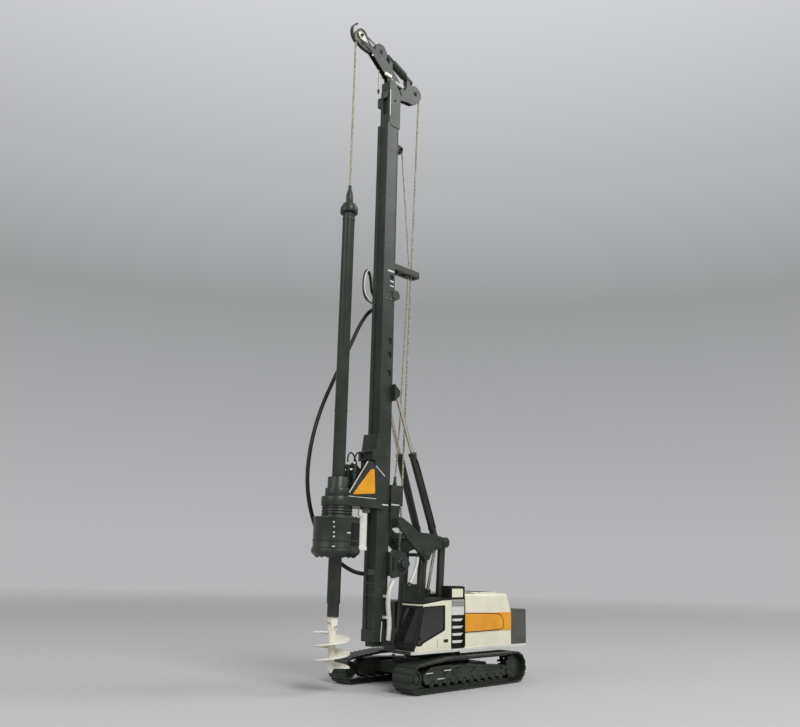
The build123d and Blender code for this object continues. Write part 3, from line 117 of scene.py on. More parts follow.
def add(tree, kind, inputs=None, **settings):
    """One shader node. Inputs are numbers, colours, or the output of another node."""
    node = tree.nodes.new("ShaderNode" + kind)
    for key, value in settings.items():
        setattr(node, key, value)
    for key, value in (inputs or {}).items():
        if isinstance(value, bpy.types.NodeSocket):
            tree.links.new(value, node.inputs[key])
        else:
            node.inputs[key].default_value = value
    return node


materials = {}


def start_material(name, **shader):
    """A new material with its Principled shader, and the surface's own coordinates."""
    material = bpy.data.materials.new(name)
    material.use_nodes = True
    tree = material.node_tree
    tree.nodes.clear()
    principled = add(tree, "BsdfPrincipled", {key.replace("_", " "): value for key, value in shader.items()})
    output = add(tree, "OutputMaterial")
    tree.links.new(principled.outputs[0], output.inputs["Surface"])
    materials[name] = material
    return tree, principled, add(tree, "TexCoord").outputs["Object"]


def grain(tree, where, size, detail=3.0):
    """Noise whose lumps are about size metres across."""
    return add(tree, "TexNoise", {"Vector": where, "Scale": 1 / size, "Detail": detail}).outputs["Fac"]


def shades(tree, factor, dark, light, low=0.35, high=0.65):
    """A colour that goes from dark to light as the factor goes from low to high."""
    ramp = add(tree, "ValToRGB", {"Fac": factor})
    for stop, position, colour in zip(ramp.color_ramp.elements, (low, high), (dark, light)):
        stop.position, stop.color = position, linear(colour)
    return ramp.outputs["Color"]


def finish(tree, principled, colour, height=None, depth=0.0, strength=0.0):
    """Give the shader its colour, and relief of that depth in metres from a height of 0 to 1."""
    tree.links.new(colour, principled.inputs["Base Color"])
    if height:
        bump = add(tree, "Bump", {"Height": height, "Distance": depth, "Strength": strength})
        tree.links.new(bump.outputs["Normal"], principled.inputs["Normal"])


# %% [markdown]
# ## Sprayed enamel on die-cast zinc
#
# Nearly the whole rig is zinc alloy, cast, tumbled and sprayed. A thin enamel coat keeps a faint
# orange peel, about half a millimetre from dimple to dimple, and lies a little lighter here and
# there. Enamel has an index near 1.5 and a soft gloss, so roughness sits between 0.3 and 0.45.

# %% Enamels
ORANGE_PEEL = 0.5 * MM
PAINT_CLOUD = 14 * MM


def enamel(name, dark, light, roughness, gloss=0.5):
    """Sprayed enamel: two close shades in wide clouds, and fine orange peel."""
    tree, principled, where = start_material(name, Roughness=roughness, IOR=1.5, Specular_IOR_Level=gloss)
    colour = shades(tree, grain(tree, where, PAINT_CLOUD), dark, light)
    finish(tree, principled, colour, grain(tree, where, ORANGE_PEEL, 1.0), 0.02 * MM, 0.35)
    return name


GRAPHITE = enamel("graphite_enamel_semigloss", "#252b23", "#30362e", 0.36, 0.32)
CREAM = enamel("cream_enamel_gloss", "#d6d3be", "#dedcc9", 0.28)
ORANGE = enamel("orange_enamel_gloss", "#d48d10", "#df9b1e", 0.28)
SLATE = enamel("slate_enamel_satin", "#3e4339", "#4a4f44", 0.45)
SILVER = enamel("silver_lacquer", "#c3c4be", "#d6d7d1", 0.33)
IVORY = enamel("ivory_enamel", "#d1cdbd", "#e5e2d5", 0.36)
print(len(materials), "enamels")

# %% [markdown]
# ## Moulded plastics and rubber
#
# The tracks and small fittings are moulded in ABS, coloured right through. A spark-eroded mould
# leaves a fine matt grain, drawn here 0.3 mm wide so that it shows. Track plastic is glossier,
# because its mould was polished. The hose is rubber, with a broad dull highlight.

# %% Plastics and rubber
def moulded(name, dark, light, roughness, grain_size, depth):
    """Moulded plastic or rubber: one colour right through, with the mould's grain."""
    tree, principled, where = start_material(name, Roughness=roughness, IOR=1.53, Specular_IOR_Level=0.25)
    height = grain(tree, where, grain_size, 2.0)
    finish(tree, principled, shades(tree, height, dark, light), height, depth, 0.5)
    return name


TRACK = moulded("track_plastic_polished_mould", "#1f241d", "#2e332b", 0.32, 1.2 * MM, 0.03 * MM)
BLACK = moulded("black_abs_spark_grain", "#0b0c0b", "#161716", 0.5, 0.3 * MM, 0.02 * MM)
RUBBER = moulded("black_rubber_hose", "#0b0b0b", "#141414", 0.46, 0.4 * MM, 0.015 * MM)

# %% [markdown]
# ## Bare metal, tinted panes and thread
#
# Piston rods are polished steel with turning marks round them, which a wave pattern gives. Real
# marks are too fine to show, so they are drawn 0.8 mm apart. The panes are clear styrene with a
# smoke tint, and transmission lets the seat show a little. The ropes are waxed thread, matt and
# a little uneven in colour.

# %% Metal, panes and thread
WAVE_SIZE = 2.5 * MM    # the wave node draws a ring at every tenth of pi times this, 0.8 mm


def polished_steel(name, dark, light, roughness):
    """Turned and polished steel: a metal with faint rings round its length."""
    tree, principled, where = start_material(name, Metallic=1.0, Roughness=roughness)
    rings = add(tree, "TexWave", {"Vector": where, "Scale": 1 / WAVE_SIZE, "Distortion": 0.4},
                bands_direction="Z").outputs["Fac"]
    finish(tree, principled, shades(tree, rings, dark, light, 0.0, 1.0), rings, 0.004 * MM, 0.4)
    return name


def tinted(name, dark, light, see_through):
    """Tinted clear styrene: smooth, with a faint cloud in its tint."""
    tree, principled, where = start_material(name, Roughness=0.07, IOR=1.59, Transmission_Weight=see_through)
    finish(tree, principled, shades(tree, grain(tree, where, 9 * MM), dark, light))
    return name


def thread(name, dark, light):
    """Waxed thread: matt, with fibres 1.1 mm long that catch the light."""
    tree, principled, where = start_material(name, Roughness=0.6, IOR=1.5)
    strand = grain(tree, where, 1.1 * MM, 2.0)
    finish(tree, principled, shades(tree, strand, dark, light), strand, 0.05 * MM, 0.6)
    return name


STEEL = polished_steel("piston_steel_polished", "#b7b2a0", "#dad6c8", 0.24)
PANE = tinted("smoke_styrene_pane", "#191a17", "#242521", 0.3)
ROPE = thread("waxed_polyester_thread", "#63604f", "#b9b4a1")
print(len(materials), "materials so far")

# %% [markdown]
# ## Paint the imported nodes
#
# The record says which finish each node has, by slot name, and a short table turns slot into
# paint. A casting never has a knife edge: its corners are rounded, and that thin round catches
# the light. So each node's loose triangles are welded into a shell, and a bevel of a fifth of a
# millimetre follows. Both are modifiers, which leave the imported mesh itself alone.

# %% Paint and edges
PAINT_OF_SLOT = {
    "graphite_paint": GRAPHITE, "cream_paint": CREAM, "orange_paint": ORANGE, "grey_paint": SLATE,
    "silver_paint": SILVER, "ivory_paint": IVORY, "track_black": TRACK, "black_plastic": BLACK,
    "hose_rubber": RUBBER, "polished_rod": STEEL, "tinted_window": PANE,
}
EDGE_ROUND = 0.18 * MM

for part in frame["record"]["subparts"]:
    node = nodes[part["node"]]
    paint = materials[PAINT_OF_SLOT[part["material_slot"]]]
    for slot in node.material_slots:
        slot.material = paint
    weld = node.modifiers.new("weld", "WELD")
    weld.merge_threshold = 0.002 * MM
    edge = node.modifiers.new("edge", "BEVEL")
    edge.width, edge.segments, edge.limit_method = EDGE_ROUND, 2, "ANGLE"
    edge.angle_limit, edge.harden_normals = radians(40), True
print("painted", len(nodes), "nodes")

# %% [markdown]
# ## Surfaces from numbers
#
# Every added piece is a grid of points: rows along it, columns round it. One function turns such
# arrays into a mesh, closes it, and marks edges sharper than 35 degrees so that flat faces stay
# flat. Small fittings of one finish share a mesh. All points are in millimetres about the slew
# axis.

# %% Meshes from grids
SHARP_FROM = radians(35)


def piece(name, grids, body, paint, caps=True, ring=False):
    """A mesh from grids of points, rows by columns by xyz, in millimetres.

    Each cell of four neighbouring points is a face, and the last column joins the first. ring
    also joins the last row to the first, and caps closes the first and last row with one face.
    """
    points, faces, start = [], [], 0
    for grid in grids:
        rows, columns = grid.shape[:2]
        index = start + np.arange(rows * columns).reshape(rows, columns)
        near, far = (index, np.roll(index, -1, axis=0)) if ring else (index[:-1], index[1:])
        cells = np.stack([near, np.roll(near, -1, axis=1), np.roll(far, -1, axis=1), far], axis=-1)
        faces += [tuple(cell) for cell in cells.reshape(-1, 4).tolist()]
        if caps and not ring:
            faces += [tuple(index[0][::-1].tolist()), tuple(index[-1].tolist())]
        points.append(grid.reshape(-1, 3))
        start += rows * columns
    mesh = bpy.data.meshes.new(name)
    mesh.from_pydata(place(np.concatenate(points)).tolist(), [], faces)
    mesh.validate()
    shell = bmesh.new()
    shell.from_mesh(mesh)
    bmesh.ops.recalc_face_normals(shell, faces=shell.faces)
    shell.to_mesh(mesh)
    shell.free()
    mesh.polygons.foreach_set("use_smooth", np.ones(len(mesh.polygons), dtype=bool))
    mesh.set_sharp_from_angle(angle=SHARP_FROM)
    mesh.materials.append(materials[paint])
    thing = bpy.data.objects.new(name, mesh)
    bpy.context.scene.collection.objects.link(thing)
    if body:
        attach(thing, body)
    print(name + ":", len(mesh.polygons), "faces")
    return thing


def pair(name, grids, body, paint):
    """A piece with its mirror image across the model's middle plane."""
    piece(name, grids + [grid * (1, -1, 1) for grid in grids], body, paint)


def place(points):
    """Points in millimetres about the slew axis, as metres in the frame."""
    return np.asarray(points, float) * MM + np.array([SLEW_X, 0, 0])


# %% [markdown]
# ## Slabs, rims, turned parts and strips
#
# Four shapes make nearly every fitting. A slab is a flat outline with thickness and a small
# bevel. A rim is the band along such an outline, as a window seal has. A turned part is a
# profile spun about a line, and with six sides it is a bolt's head. A strip is a small outline
# carried along a path, which makes pipes and ropes.

# %% Slabs and rims
AXES = {"xz": (0, 2, 1), "yz": (1, 2, 0), "xy": (0, 1, 2)}
SOFT_EDGE = 0.15


def inset(outline, by):
    """The outline moved in by that much.

    Each corner goes along the sum of its two edge normals over one plus their dot product,
    which moves both edges by the same amount.
    """
    outline = np.asarray(outline, float)
    after = np.roll(outline, -1, axis=0)
    edge = after - outline
    turn = np.sign(np.sum(outline[:, 0] * after[:, 1] - after[:, 0] * outline[:, 1]))
    normal = np.stack([-edge[:, 1], edge[:, 0]], axis=-1) * turn / np.linalg.norm(edge, axis=1)[:, None]
    before = np.roll(normal, 1, axis=0)
    share = 1 + np.sum(normal * before, axis=1)
    return outline + by * (normal + before) / share[:, None]


def layers(outlines, heights, plane):
    """Outlines of equal length stacked at those heights: one row each, in the named plane."""
    first, second, third = AXES[plane]
    grid = np.zeros((len(outlines), len(outlines[0]), 3))
    grid[..., first], grid[..., second] = np.asarray(outlines)[..., 0], np.asarray(outlines)[..., 1]
    grid[..., third] = np.asarray(heights, float)[:, None]
    return grid


def slab(outline, low, high, plane="xz", edge=SOFT_EDGE):
    """A flat piece with that outline: inset by the edge, full, full and inset again."""
    full, small = np.asarray(outline, float), inset(outline, edge)
    way = edge * np.sign(high - low)
    return layers([small, full, full, small], [low, low + way, high - way, high], plane)


def box(low, high, edge=SOFT_EDGE):
    """A box between two corners, its thinnest side taken as the slab's thickness."""
    low, high = np.minimum(low, high).astype(float), np.maximum(low, high).astype(float)
    plane = ("yz", "xz", "xy")[int(np.argmin(high - low))]
    a, b, c = AXES[plane]
    outline = [(low[a], low[b]), (high[a], low[b]), (high[a], high[b]), (low[a], high[b])]
    return slab(outline, low[c], high[c], plane, min(edge, 0.3 * (high - low)[c]))


def side_plates(rows, face, proud, edge=0.1, sunk=0.1):
    """Small boxes on a side face, one for each row of (from x, to x, from z, to z)."""
    return [box((x0, face - sunk, z0), (x1, face + proud, z1), edge) for x0, x1, z0, z1 in rows]


def rim(outline, width, low, high, plane="xz"):
    """A band along an outline: outer edge low and high, then inner edge high and low."""
    full, small = np.asarray(outline, float), inset(outline, width)
    return layers([full, full, small, small], [low, high, high, low], plane)


def bend(before, corner, after, count):
    """Each corner as a parabola: (1-t)^2 before + 2t(1-t) corner + t^2 after."""
    t = np.linspace(0, 1, count + 1)[:, None, None]
    curve = (1 - t) ** 2 * before + 2 * t * (1 - t) * corner + t ** 2 * after
    return curve.transpose(1, 0, 2).reshape(-1, corner.shape[1])


def rounded(outline, radius):
    """The outline with its corners rounded, from radius before each to radius after it."""
    outline = np.asarray(outline, float)
    before, after = np.roll(outline, 1, axis=0) - outline, np.roll(outline, -1, axis=0) - outline
    a = outline + before * radius / np.linalg.norm(before, axis=1)[:, None]
    b = outline + after * radius / np.linalg.norm(after, axis=1)[:, None]
    return bend(a, outline, b, 4)


# %% Turned parts and strips
def circle(radius, count, lobes=0, depth=0.0):
    """A closed outline: radius plus depth times the cosine of lobes turns."""
    angle = np.arange(count) * 2 * pi / count
    reach = radius + depth * np.cos(lobes * angle)
    return np.stack([reach * np.cos(angle), reach * np.sin(angle)], axis=-1)


def turned(start, end, profile, sides=20):
    """A surface of revolution about the line from start to end.

    A profile row is (millimetres from start, radius), and its ring is that far along the line:
    centre plus radius times the cosine and sine of the angle on two axes square to the line.
    """
    start, end = np.asarray(start, float), np.asarray(end, float)
    ahead = (end - start) / np.linalg.norm(end - start)
    across = np.cross(ahead, (0, 0, 1) if abs(ahead[2]) < 0.9 else (0, 1, 0))
    across /= np.linalg.norm(across)
    other = np.cross(ahead, across)
    run, radius = np.asarray(profile, float).T
    ring = circle(1, sides)
    flat = ring[:, :1] * across + ring[:, 1:] * other
    return start + run[:, None, None] * ahead + radius[:, None, None] * flat


def rod(start, end, radius, sides, edge):
    """A plain rod with softened ends."""
    length = np.linalg.norm(np.subtract(end, start))
    profile = ((0, radius - edge), (edge, radius), (length - edge, radius), (length, radius - edge))
    return turned(start, end, profile, sides)


def side_turned(x, z, face, profile, sides=20):
    """A turned part that stands out along Y from a side face."""
    return turned((x, face, z), (x, face + 1, z), profile, sides)


def hoop(x, y, z, height, inside, outside, sides):
    """A ring about an upright line: a rectangle from the inside to the outside radius, spun."""
    profile = ((0, inside), (0, outside), (height, outside), (height, inside))
    return turned((x, y, z), (x, y, z + 1), profile, sides)


def bolts(places, way, radius, height):
    """Hexagon heads at those places, standing out along way."""
    way = np.asarray(way, float)
    return [rod(at, np.asarray(at) + way * height, radius, 6, 0.12) for at in places]


def round_about(centre, radius, count, first=0.0, plane="xy"):
    """Places at even steps round a centre, in the named plane."""
    a, b, _ = AXES[plane]
    angle = first + np.arange(count) * 2 * pi / count
    places = np.repeat(np.asarray(centre, float)[None], count, axis=0)
    places[:, a] += radius * np.cos(angle)
    places[:, b] += radius * np.sin(angle)
    return places


def carry(path, outline, twist=0.0):
    """The outline carried along the path: each row is path point plus the outline in its plane.

    The plane stands square to the path's direction, with its first axis as near as can be to
    Y. twist turns the outline by that many radians per millimetre of path.
    """
    path = np.asarray(path, float)
    ahead = np.gradient(path, axis=0)
    ahead /= np.linalg.norm(ahead, axis=1)[:, None]
    first = np.array((0.0, 1.0, 0.0)) - ahead * ahead[:, 1:2]
    first /= np.linalg.norm(first, axis=1)[:, None]
    second = np.cross(ahead, first)
    run = np.concatenate([[0], np.cumsum(np.linalg.norm(np.diff(path, axis=0), axis=1))]) * twist
    c, s = np.cos(run)[:, None], np.sin(run)[:, None]
    u, v = outline[:, 0][None], outline[:, 1][None]
    a, b = u * c - v * s, u * s + v * c
    return path[:, None] + a[..., None] * first[:, None] + b[..., None] * second[:, None]


# %% [markdown]
# ## The big hydraulic hose
#
# A wide loop of hose hangs beside the mast. It leaves the mast at half height, bows far out past
# the drive and comes back in near the foot. A hose bends evenly and sags under its own weight,
# so a NURBS curve through a few given points suits it: it has no corners to round.

# %% Hose
HOSE_WIDTH = 3.2 * MM
HOSE_ROUTE = (
    (62.0, -7.8, 303.0), (63.5, -16.0, 304.0), (70.0, -22.0, 291.0), (79.0, -24.7, 268.0),
    (93.0, -25.7, 240.0), (107.0, -26.7, 209.0), (115.5, -26.7, 177.0), (116.5, -26.7, 147.0),
    (108.0, -25.7, 119.0), (93.0, -24.7, 99.0), (76.0, -21.0, 87.0), (65.0, -14.0, 83.0),
    (63.0, -7.8, 84.0),
)

curve = bpy.data.curves.new("hydraulic_hose", "CURVE")
curve.dimensions = "3D"
curve.bevel_depth, curve.bevel_resolution, curve.resolution_u = HOSE_WIDTH / 2, 5, 12
curve.use_fill_caps = True
spline = curve.splines.new("NURBS")
spline.points.add(len(HOSE_ROUTE) - 1)
for knot, at in zip(spline.points, place(HOSE_ROUTE)):
    knot.co = (*at, 1)
spline.order_u, spline.use_endpoint_u = 3, True
curve.materials.append(materials[RUBBER])
hose = bpy.data.objects.new("hydraulic_hose", curve)
bpy.context.scene.collection.objects.link(hose)
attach(hose, "mast")
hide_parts("hose_tube")

# %% [markdown]
# ## Ropes over the sheaves
#
# The hoist rope climbs from the kelly bar, passes over three sheaves at the mast's head and runs
# down to the winch. A taut rope is straight between wheels and lies in each groove, so its path
# is common tangents and arcs. Twisted thread shows as lobes that wind round the rope, one turn
# for each lay length.

# %% Rope path
ROPE_R, HOIST_R, WINDING_R, SPARE_R = 1.0, 0.95, 0.75, 0.45
ROPE_LAY = 6.5
ROPE_STEP = ROPE_LAY / 7
CARRIED_AT = {    # the radius at which each wheel carries the rope's middle
    "sheave_front": 5.4, "sheave_mid": 3.6, "sheave_rear": 6.6, "sheave_small": 3.4, "winch_drum": 5.9,
}


def tangent_path(wheels):
    """The line round wheels (x, z, radius): tangents between them and arcs on them.

    A radius below zero has its wheel on the path's right, and a radius of zero is a plain point.
    The normal n of the tangent from wheel 1 to wheel 2 satisfies (c2 - c1) . n = r1 - r2, and it
    touches each wheel at c + r n.
    """
    wheels = np.asarray(wheels, float)
    centre, radius = wheels[:, :2], wheels[:, 2]
    gap = np.diff(centre, axis=0)
    length = np.linalg.norm(gap, axis=1)
    ahead = gap / length[:, None]
    left = np.stack([-ahead[:, 1], ahead[:, 0]], axis=-1)
    share = -np.diff(radius) / length
    normal = ahead * share[:, None] + left * np.sqrt(1 - share ** 2)[:, None]
    angle = np.unwrap(np.arctan2(normal[:, 1], normal[:, 0]))
    points = [centre[0] + radius[0] * normal[0]]
    for i in range(len(length)):
        end = centre[i + 1] + radius[i + 1] * normal[i]
        count = max(2, int(np.linalg.norm(end - points[-1]) / ROPE_STEP))
        points += list(points[-1] + (end - points[-1]) * np.linspace(0, 1, count + 1)[1:, None])
        if i + 1 < len(length) and radius[i + 1]:
            count = max(3, int(abs(radius[i + 1]) / ROPE_STEP * 2))
            turn = np.linspace(angle[i], angle[i + 1], count)[1:, None]
            points += list(centre[i + 1] + radius[i + 1] * np.hstack([np.cos(turn), np.sin(turn)]))
    points = np.array(points)
    moved = np.linalg.norm(np.diff(points, axis=0), axis=1) > 1e-3
    return points[np.concatenate([[True], moved])]


def twisted(path, radius=ROPE_R):
    """A three-strand rope along a path."""
    return carry(path, circle(radius * 0.88, 12, lobes=3, depth=radius * 0.12), twist=2 * pi / ROPE_LAY)


def in_plane(line):
    """A line of (x, z) points as points of the model's middle plane."""
    return np.stack([line[:, 0], np.zeros(len(line)), line[:, 1]], axis=-1)


def wheel(node):
    """A node's middle and the radius of the rope's own middle on it, as a wheel for the path."""
    low, high = span(node)
    return (low[0] + high[0]) / 2, (low[2] + high[2]) / 2, -CARRIED_AT[node]


front, mid, rear, small, winch = (wheel(node) for node in CARRIED_AT)
kelly_x = front[0] - front[2]
print("kelly rope hangs at x", round(kelly_x, 2), "mm")

# %% Hoist rope
ROPE_END_SUNK = 1.5    # into the swivel's top
swivel_top = span("rope_swivel")[1][2]

hoist = tangent_path([(kelly_x, front[1] - 1, 0), front, mid, rear, winch,
                      (winch[0] - winch[2], winch[1] - 1, 0)])
piece("hoist_rope", [twisted(in_plane(hoist), HOIST_R)], "mast", ROPE)

drop_points = int((front[1] - swivel_top) / ROPE_STEP)
drop = np.linspace((kelly_x, 0, front[1]), (kelly_x, 0, swivel_top - ROPE_END_SUNK), drop_points)
kelly_rope = piece("kelly_rope", [twisted(drop)], None, ROPE)
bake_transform(kelly_rope)

# %% Trip rope and windings
TRIP_START = (5.2, -18.0)    # from the small sheave's middle
TRIP_ROUTE = ((35.0, 348.0), (41.9, 208.0), (46.5, 153.3))
FERRULE = ((0, 1.5), (0.4, 1.7), (2.6, 1.7), (3.2, 1.2), (7.5, 1.1), (8, 0.9))
WINDINGS, WINDING_HALF, WINDING_AT, POINTS_A_TURN = 7.5, 5.6, 6.8, 28

trip_start = (small[0] + TRIP_START[0], small[1] + TRIP_START[1], 0)
trip = tangent_path([trip_start, small, *((*at, 0) for at in TRIP_ROUTE)])
piece("trip_rope", [twisted(in_plane(trip), WINDING_R)], "mast", ROPE)
piece("trip_ferrule", [turned((46.5, 0, 152.9), (46.1, 0, 162), FERRULE)], "mast", GRAPHITE)

turn = np.linspace(0, WINDINGS * 2 * pi, int(WINDINGS * POINTS_A_TURN))
coil = np.stack([winch[0] + WINDING_AT * np.cos(turn), np.linspace(-WINDING_HALF, WINDING_HALF, len(turn)),
                 winch[1] + WINDING_AT * np.sin(turn)], axis=-1)
piece("winch_windings", [twisted(coil, WINDING_R)], "winch_drum", ROPE)
print("hoist rope", len(hoist), "points, trip rope", len(trip), "points, windings", WINDINGS)

# %% [markdown]
# ## Track fittings
#
# The side frames carry ten track rollers, a sprocket and an idler on each side, whose ends show
# as hubs with bolts. Where the light catches the frame's ribs, a few thin silver strips paint
# that highlight on the graphite.

# %% Track hubs
FRAME_FACE = span("track_frame_left")[1][1]
HUB_FACE = FRAME_FACE - 0.6
HUB_SUNK = HUB_FACE - 0.1
ROLLERS_X, ROLLER_Z = -40.0 + 9.2 * np.arange(10), 6.1
SPROCKET, IDLER = (-56.5, 12.1), (60.4, 10.4)
HUB_CAP = ((0, 1.55), (0.35, 1.55), (0.45, 0.8), (0.6, 0.7), (0.7, 0.5))

caps = [side_turned(x, ROLLER_Z, HUB_SUNK, HUB_CAP) for x in ROLLERS_X]
hubs = [side_turned(*at, HUB_SUNK, ((0, r), (0.5, r), (0.7, r - 0.4), (0.7, 1.6), (1.1, 1.3), (1.1, 0.5)), 24)
        for at, r in ((SPROCKET, 4.6), (IDLER, 2.9))]
ring = round_about((SPROCKET[0], HUB_FACE + 0.5, SPROCKET[1]), 3.3, 8, 0.2, "xz")
nuts = bolts(ring, (0, 1, 0), 0.42, 0.5)
pair("track_hubs", caps + hubs + nuts, "undercarriage", GRAPHITE)

# %% Side frame marks
# Painted highlights: thin silver strips where the light catches the frame's ribs.
RIB_PAINTED_HIGHLIGHTS = (
    # from x, to x, z, thickness
    (42.2, 49.8, 13.8, 0.7), (21.8, 30.0, 14.7, 0.7), (29.6, 37.0, 9.2, 0.6), (-39.0, -33.7, 16.6, 0.8),
    (-44.2, -43.2, 19.3, 1.0),
)
BRACKET = ((0.8, 18.4), (2.6, 18.4), (19.4, 13.4), (19.4, 12.3), (17.6, 12.3), (0.8, 17.2))

lights = side_plates([(x0, x1, z - thick / 2, z + thick / 2) for x0, x1, z, thick in RIB_PAINTED_HIGHLIGHTS],
                     FRAME_FACE, 0.25, SOFT_EDGE, sunk=0.2)
bracket = slab(BRACKET, FRAME_FACE - 0.2, FRAME_FACE + 0.5)
pair("frame_painted_highlights", lights, "undercarriage", SILVER)
pair("frame_brackets", [bracket], "undercarriage", GRAPHITE)

# %% [markdown]
# ## Engine housing
#
# The housing's side is one cream casting with an orange band. The service door in the band is a
# black printed line with one round corner. A black strip marks the joint to the louvred column
# and paints the shade in that gap. The lids and the exhaust on the roof are low relief.

# %% Housing side
BAND_FACE = span("band_panel_left")[1][1]
HOUSE_HIGH = span("engine_housing")[1]
DOOR_LINE = ((-1.2, 55.0), (-44.4, 54.3), (-49.6, 51.5), (-51.6, 46.5), (-51.4, 43.5), (-49.6, 41.1),
             (-1.2, 40.6))
LINE_WIDTH, LINE_PROUD = 0.55, 0.12


def flat_line(points, y, width=LINE_WIDTH, proud=LINE_PROUD):
    """A printed line: a flat strip along (x, z) points that stands proud of the face at y."""
    points = np.asarray(points, float)
    path = np.stack([points[:, 0], np.full(len(points), y), points[:, 1]], axis=-1)
    half = width / 2
    return carry(path, np.array([(-proud, -half), (proud, -half), (proud, half), (-proud, half)]))


def smooth(points):
    """The points with each inner corner drawn as a quadratic curve between mid-sides."""
    points = np.asarray(points, float)
    half = (points[1:] + points[:-1]) / 2
    return np.concatenate([points[:1], bend(half[:-1], points[1:-1], half[1:], 8), points[-1:]])


pair("housing_door_line", [flat_line(smooth(DOOR_LINE), BAND_FACE)], "upper", BLACK)
# A black strip: the joint to the column, and painted shade in the gap.
joint_gap_shade = box((HOUSE_HIGH[0] - 0.3, HOUSE_HIGH[1] - 0.6, 30), (HOUSE_HIGH[0] + 0.4, HOUSE_HIGH[1] + 0.15, 66))
pair("housing_joint_and_gap_shade", [joint_gap_shade], "upper", BLACK)

# %% Housing roof
ROOF_Z = HOUSE_HIGH[2]
LIDS = (
    # from x, to x, from y, to y, height
    (-54.0, -32.0, -26.0, 26.0, 0.7), (-28.0, -19.0, -27.0, -6.0, 0.9), (-28.0, -19.0, 6.0, 27.0, 0.9),
)
SLOTS_X, SLOT_HALF = -52.5 + 2.2 * np.arange(9), 20

lids = [slab(rounded([(x0, y0), (x1, y0), (x1, y1), (x0, y1)], 1.2), ROOF_Z - 0.2, ROOF_Z + high, "xy", 0.3)
        for x0, x1, y0, y1, high in LIDS]
piece("housing_lids", lids, "upper", CREAM)
slots = [box((x, -SLOT_HALF, ROOF_Z + 0.6), (x + 1, SLOT_HALF, ROOF_Z + 0.85)) for x in SLOTS_X]
vent = [box((-17.3, 26.0, ROOF_Z - 0.1), (-10.0, 30.5, ROOF_Z + 0.5))]
exhaust = [rod((-12.5, -22.0, ROOF_Z - 0.2), (-12.5, -22.0, ROOF_Z + 5.4), 1.5, 20, 0.3)]
piece("housing_roof_dark", slots + vent + exhaust, "upper", BLACK)

# %% Counterweight
REAR_X = span("counterweight")[0][0]
LAMP_Z, BOSS_X = 33.0, -74.1

seams = [box((REAR_X - 0.12, y - 0.25, 30), (REAR_X + 0.2, y + 0.25, 56)) for y in (-12.5, 12.5)]
louvres = [box((REAR_X - 0.25, -9.5, z), (REAR_X + 0.2, 9.5, z + 1.1), 0.1) for z in 38 + 2.1 * np.arange(7)]
piece("counterweight_dark_lines", seams + louvres, "upper", BLACK)
lamps = [rod((REAR_X + 0.2, y, LAMP_Z), (REAR_X - 0.6, y, LAMP_Z), 1.3, 20, 0.25) for y in (-27, 27)]
piece("rear_lamps", lamps, "upper", ORANGE)
sling = [rod((BOSS_X, y, 56.2), (BOSS_X, y, 58.9), 1.0, 20, 0.3) for y in (-12, 12)]
piece("counterweight_lifting_bosses", sling, "upper", BLACK)

# %% [markdown]
# ## Louvred column, grating and air intake
#
# Behind the cab stands a dark column, with a mesh guard above it and the air intake on top. The
# mesh of the model is a moulded grid: a dark plate with thin bars before it looks the same and
# stays simple.

# %% Grating
GRATE_LOW, GRATE_HIGH = span("intake_grating")
MESH_LOW, MESH_HIGH = 60.2, GRATE_HIGH[2] - 0.5
MESH_REAR, MESH_FRONT = GRATE_LOW[0] + 0.7, GRATE_HIGH[0] - 0.7
BAR_PROUD = 0.3
face = GRATE_HIGH[1]

dark = box((MESH_REAR, face - 0.2, MESH_LOW), (MESH_FRONT, face + 0.1, MESH_HIGH), 0.05)
piece("grating_shadow", [dark], "upper", BLACK)
columns = [box((x, face, MESH_LOW), (x + 0.35, face + BAR_PROUD, MESH_HIGH), 0.05)
           for x in np.linspace(GRATE_LOW[0] + 0.8, GRATE_HIGH[0] - 1.1, 12)]
rows = [box((MESH_REAR, face, z), (MESH_FRONT, face + BAR_PROUD, z + 0.3), 0.05)
        for z in np.linspace(MESH_LOW, MESH_HIGH - 0.3, 5)]
piece("grating_bars", columns + rows, "upper", SILVER)

# %% Intake
INTAKE_TOP = span("intake_box")[1][2]

panel = slab(rounded([(-0.1, 67.2), (13.6, 67.2), (13.6, 73.9), (-0.1, 73.9)], 0.6), 33.1, 33.75)
piece("intake_panel", [panel], "upper", CREAM)
ribs = [box((x, 24.6, INTAKE_TOP - 0.1), (x + 0.8, 33.6, INTAKE_TOP + 0.35), 0.1)
        for x in np.linspace(0, 12.5, 7)]
piece("intake_ribs", ribs, "upper", BLACK)

# %% [markdown]
# ## Cab
#
# The cab's panes sit in black rubber seals, which read as dark outlines on the cream shell. The
# front pillars are black, a narrow cream lip runs along the roof's front edge, and a long wiper
# parks upright before the windscreen.

# %% Cab seals
CAB_SIDE = span("cab_frame")[1][1]
SIDE_WINDOW = ((23.5, 61.0), (47.1, 60.2), (54.3, 33.2), (49.6, 33.2), (48.0, 34.9), (23.5, 43.4))
REAR_WINDOW = ((18.2, 45.6), (32.2, 45.6), (32.2, 62.4), (18.2, 62.4))
SCREEN_FOOT, SCREEN_HEAD = np.array((55.5, 34.1)), np.array((48.3, 60.1))
SCREEN_INNER, SCREEN_OUTER = 15.65, 34.85
screen_length = np.linalg.norm(SCREEN_HEAD - SCREEN_FOOT)


def on_screen(grid, proud):
    """A grid drawn upright at x 0, z 0, leant onto the windscreen.

    Its z runs up the glass and its x out of it.
    """
    up = (SCREEN_HEAD - SCREEN_FOOT) / screen_length
    out = np.array((up[1], -up[0]))
    leant = grid.copy()
    leant[..., 0] = SCREEN_FOOT[0] + up[0] * grid[..., 2] + out[0] * (grid[..., 0] + proud)
    leant[..., 2] = SCREEN_FOOT[1] + up[1] * grid[..., 2] + out[1] * (grid[..., 0] + proud)
    return leant


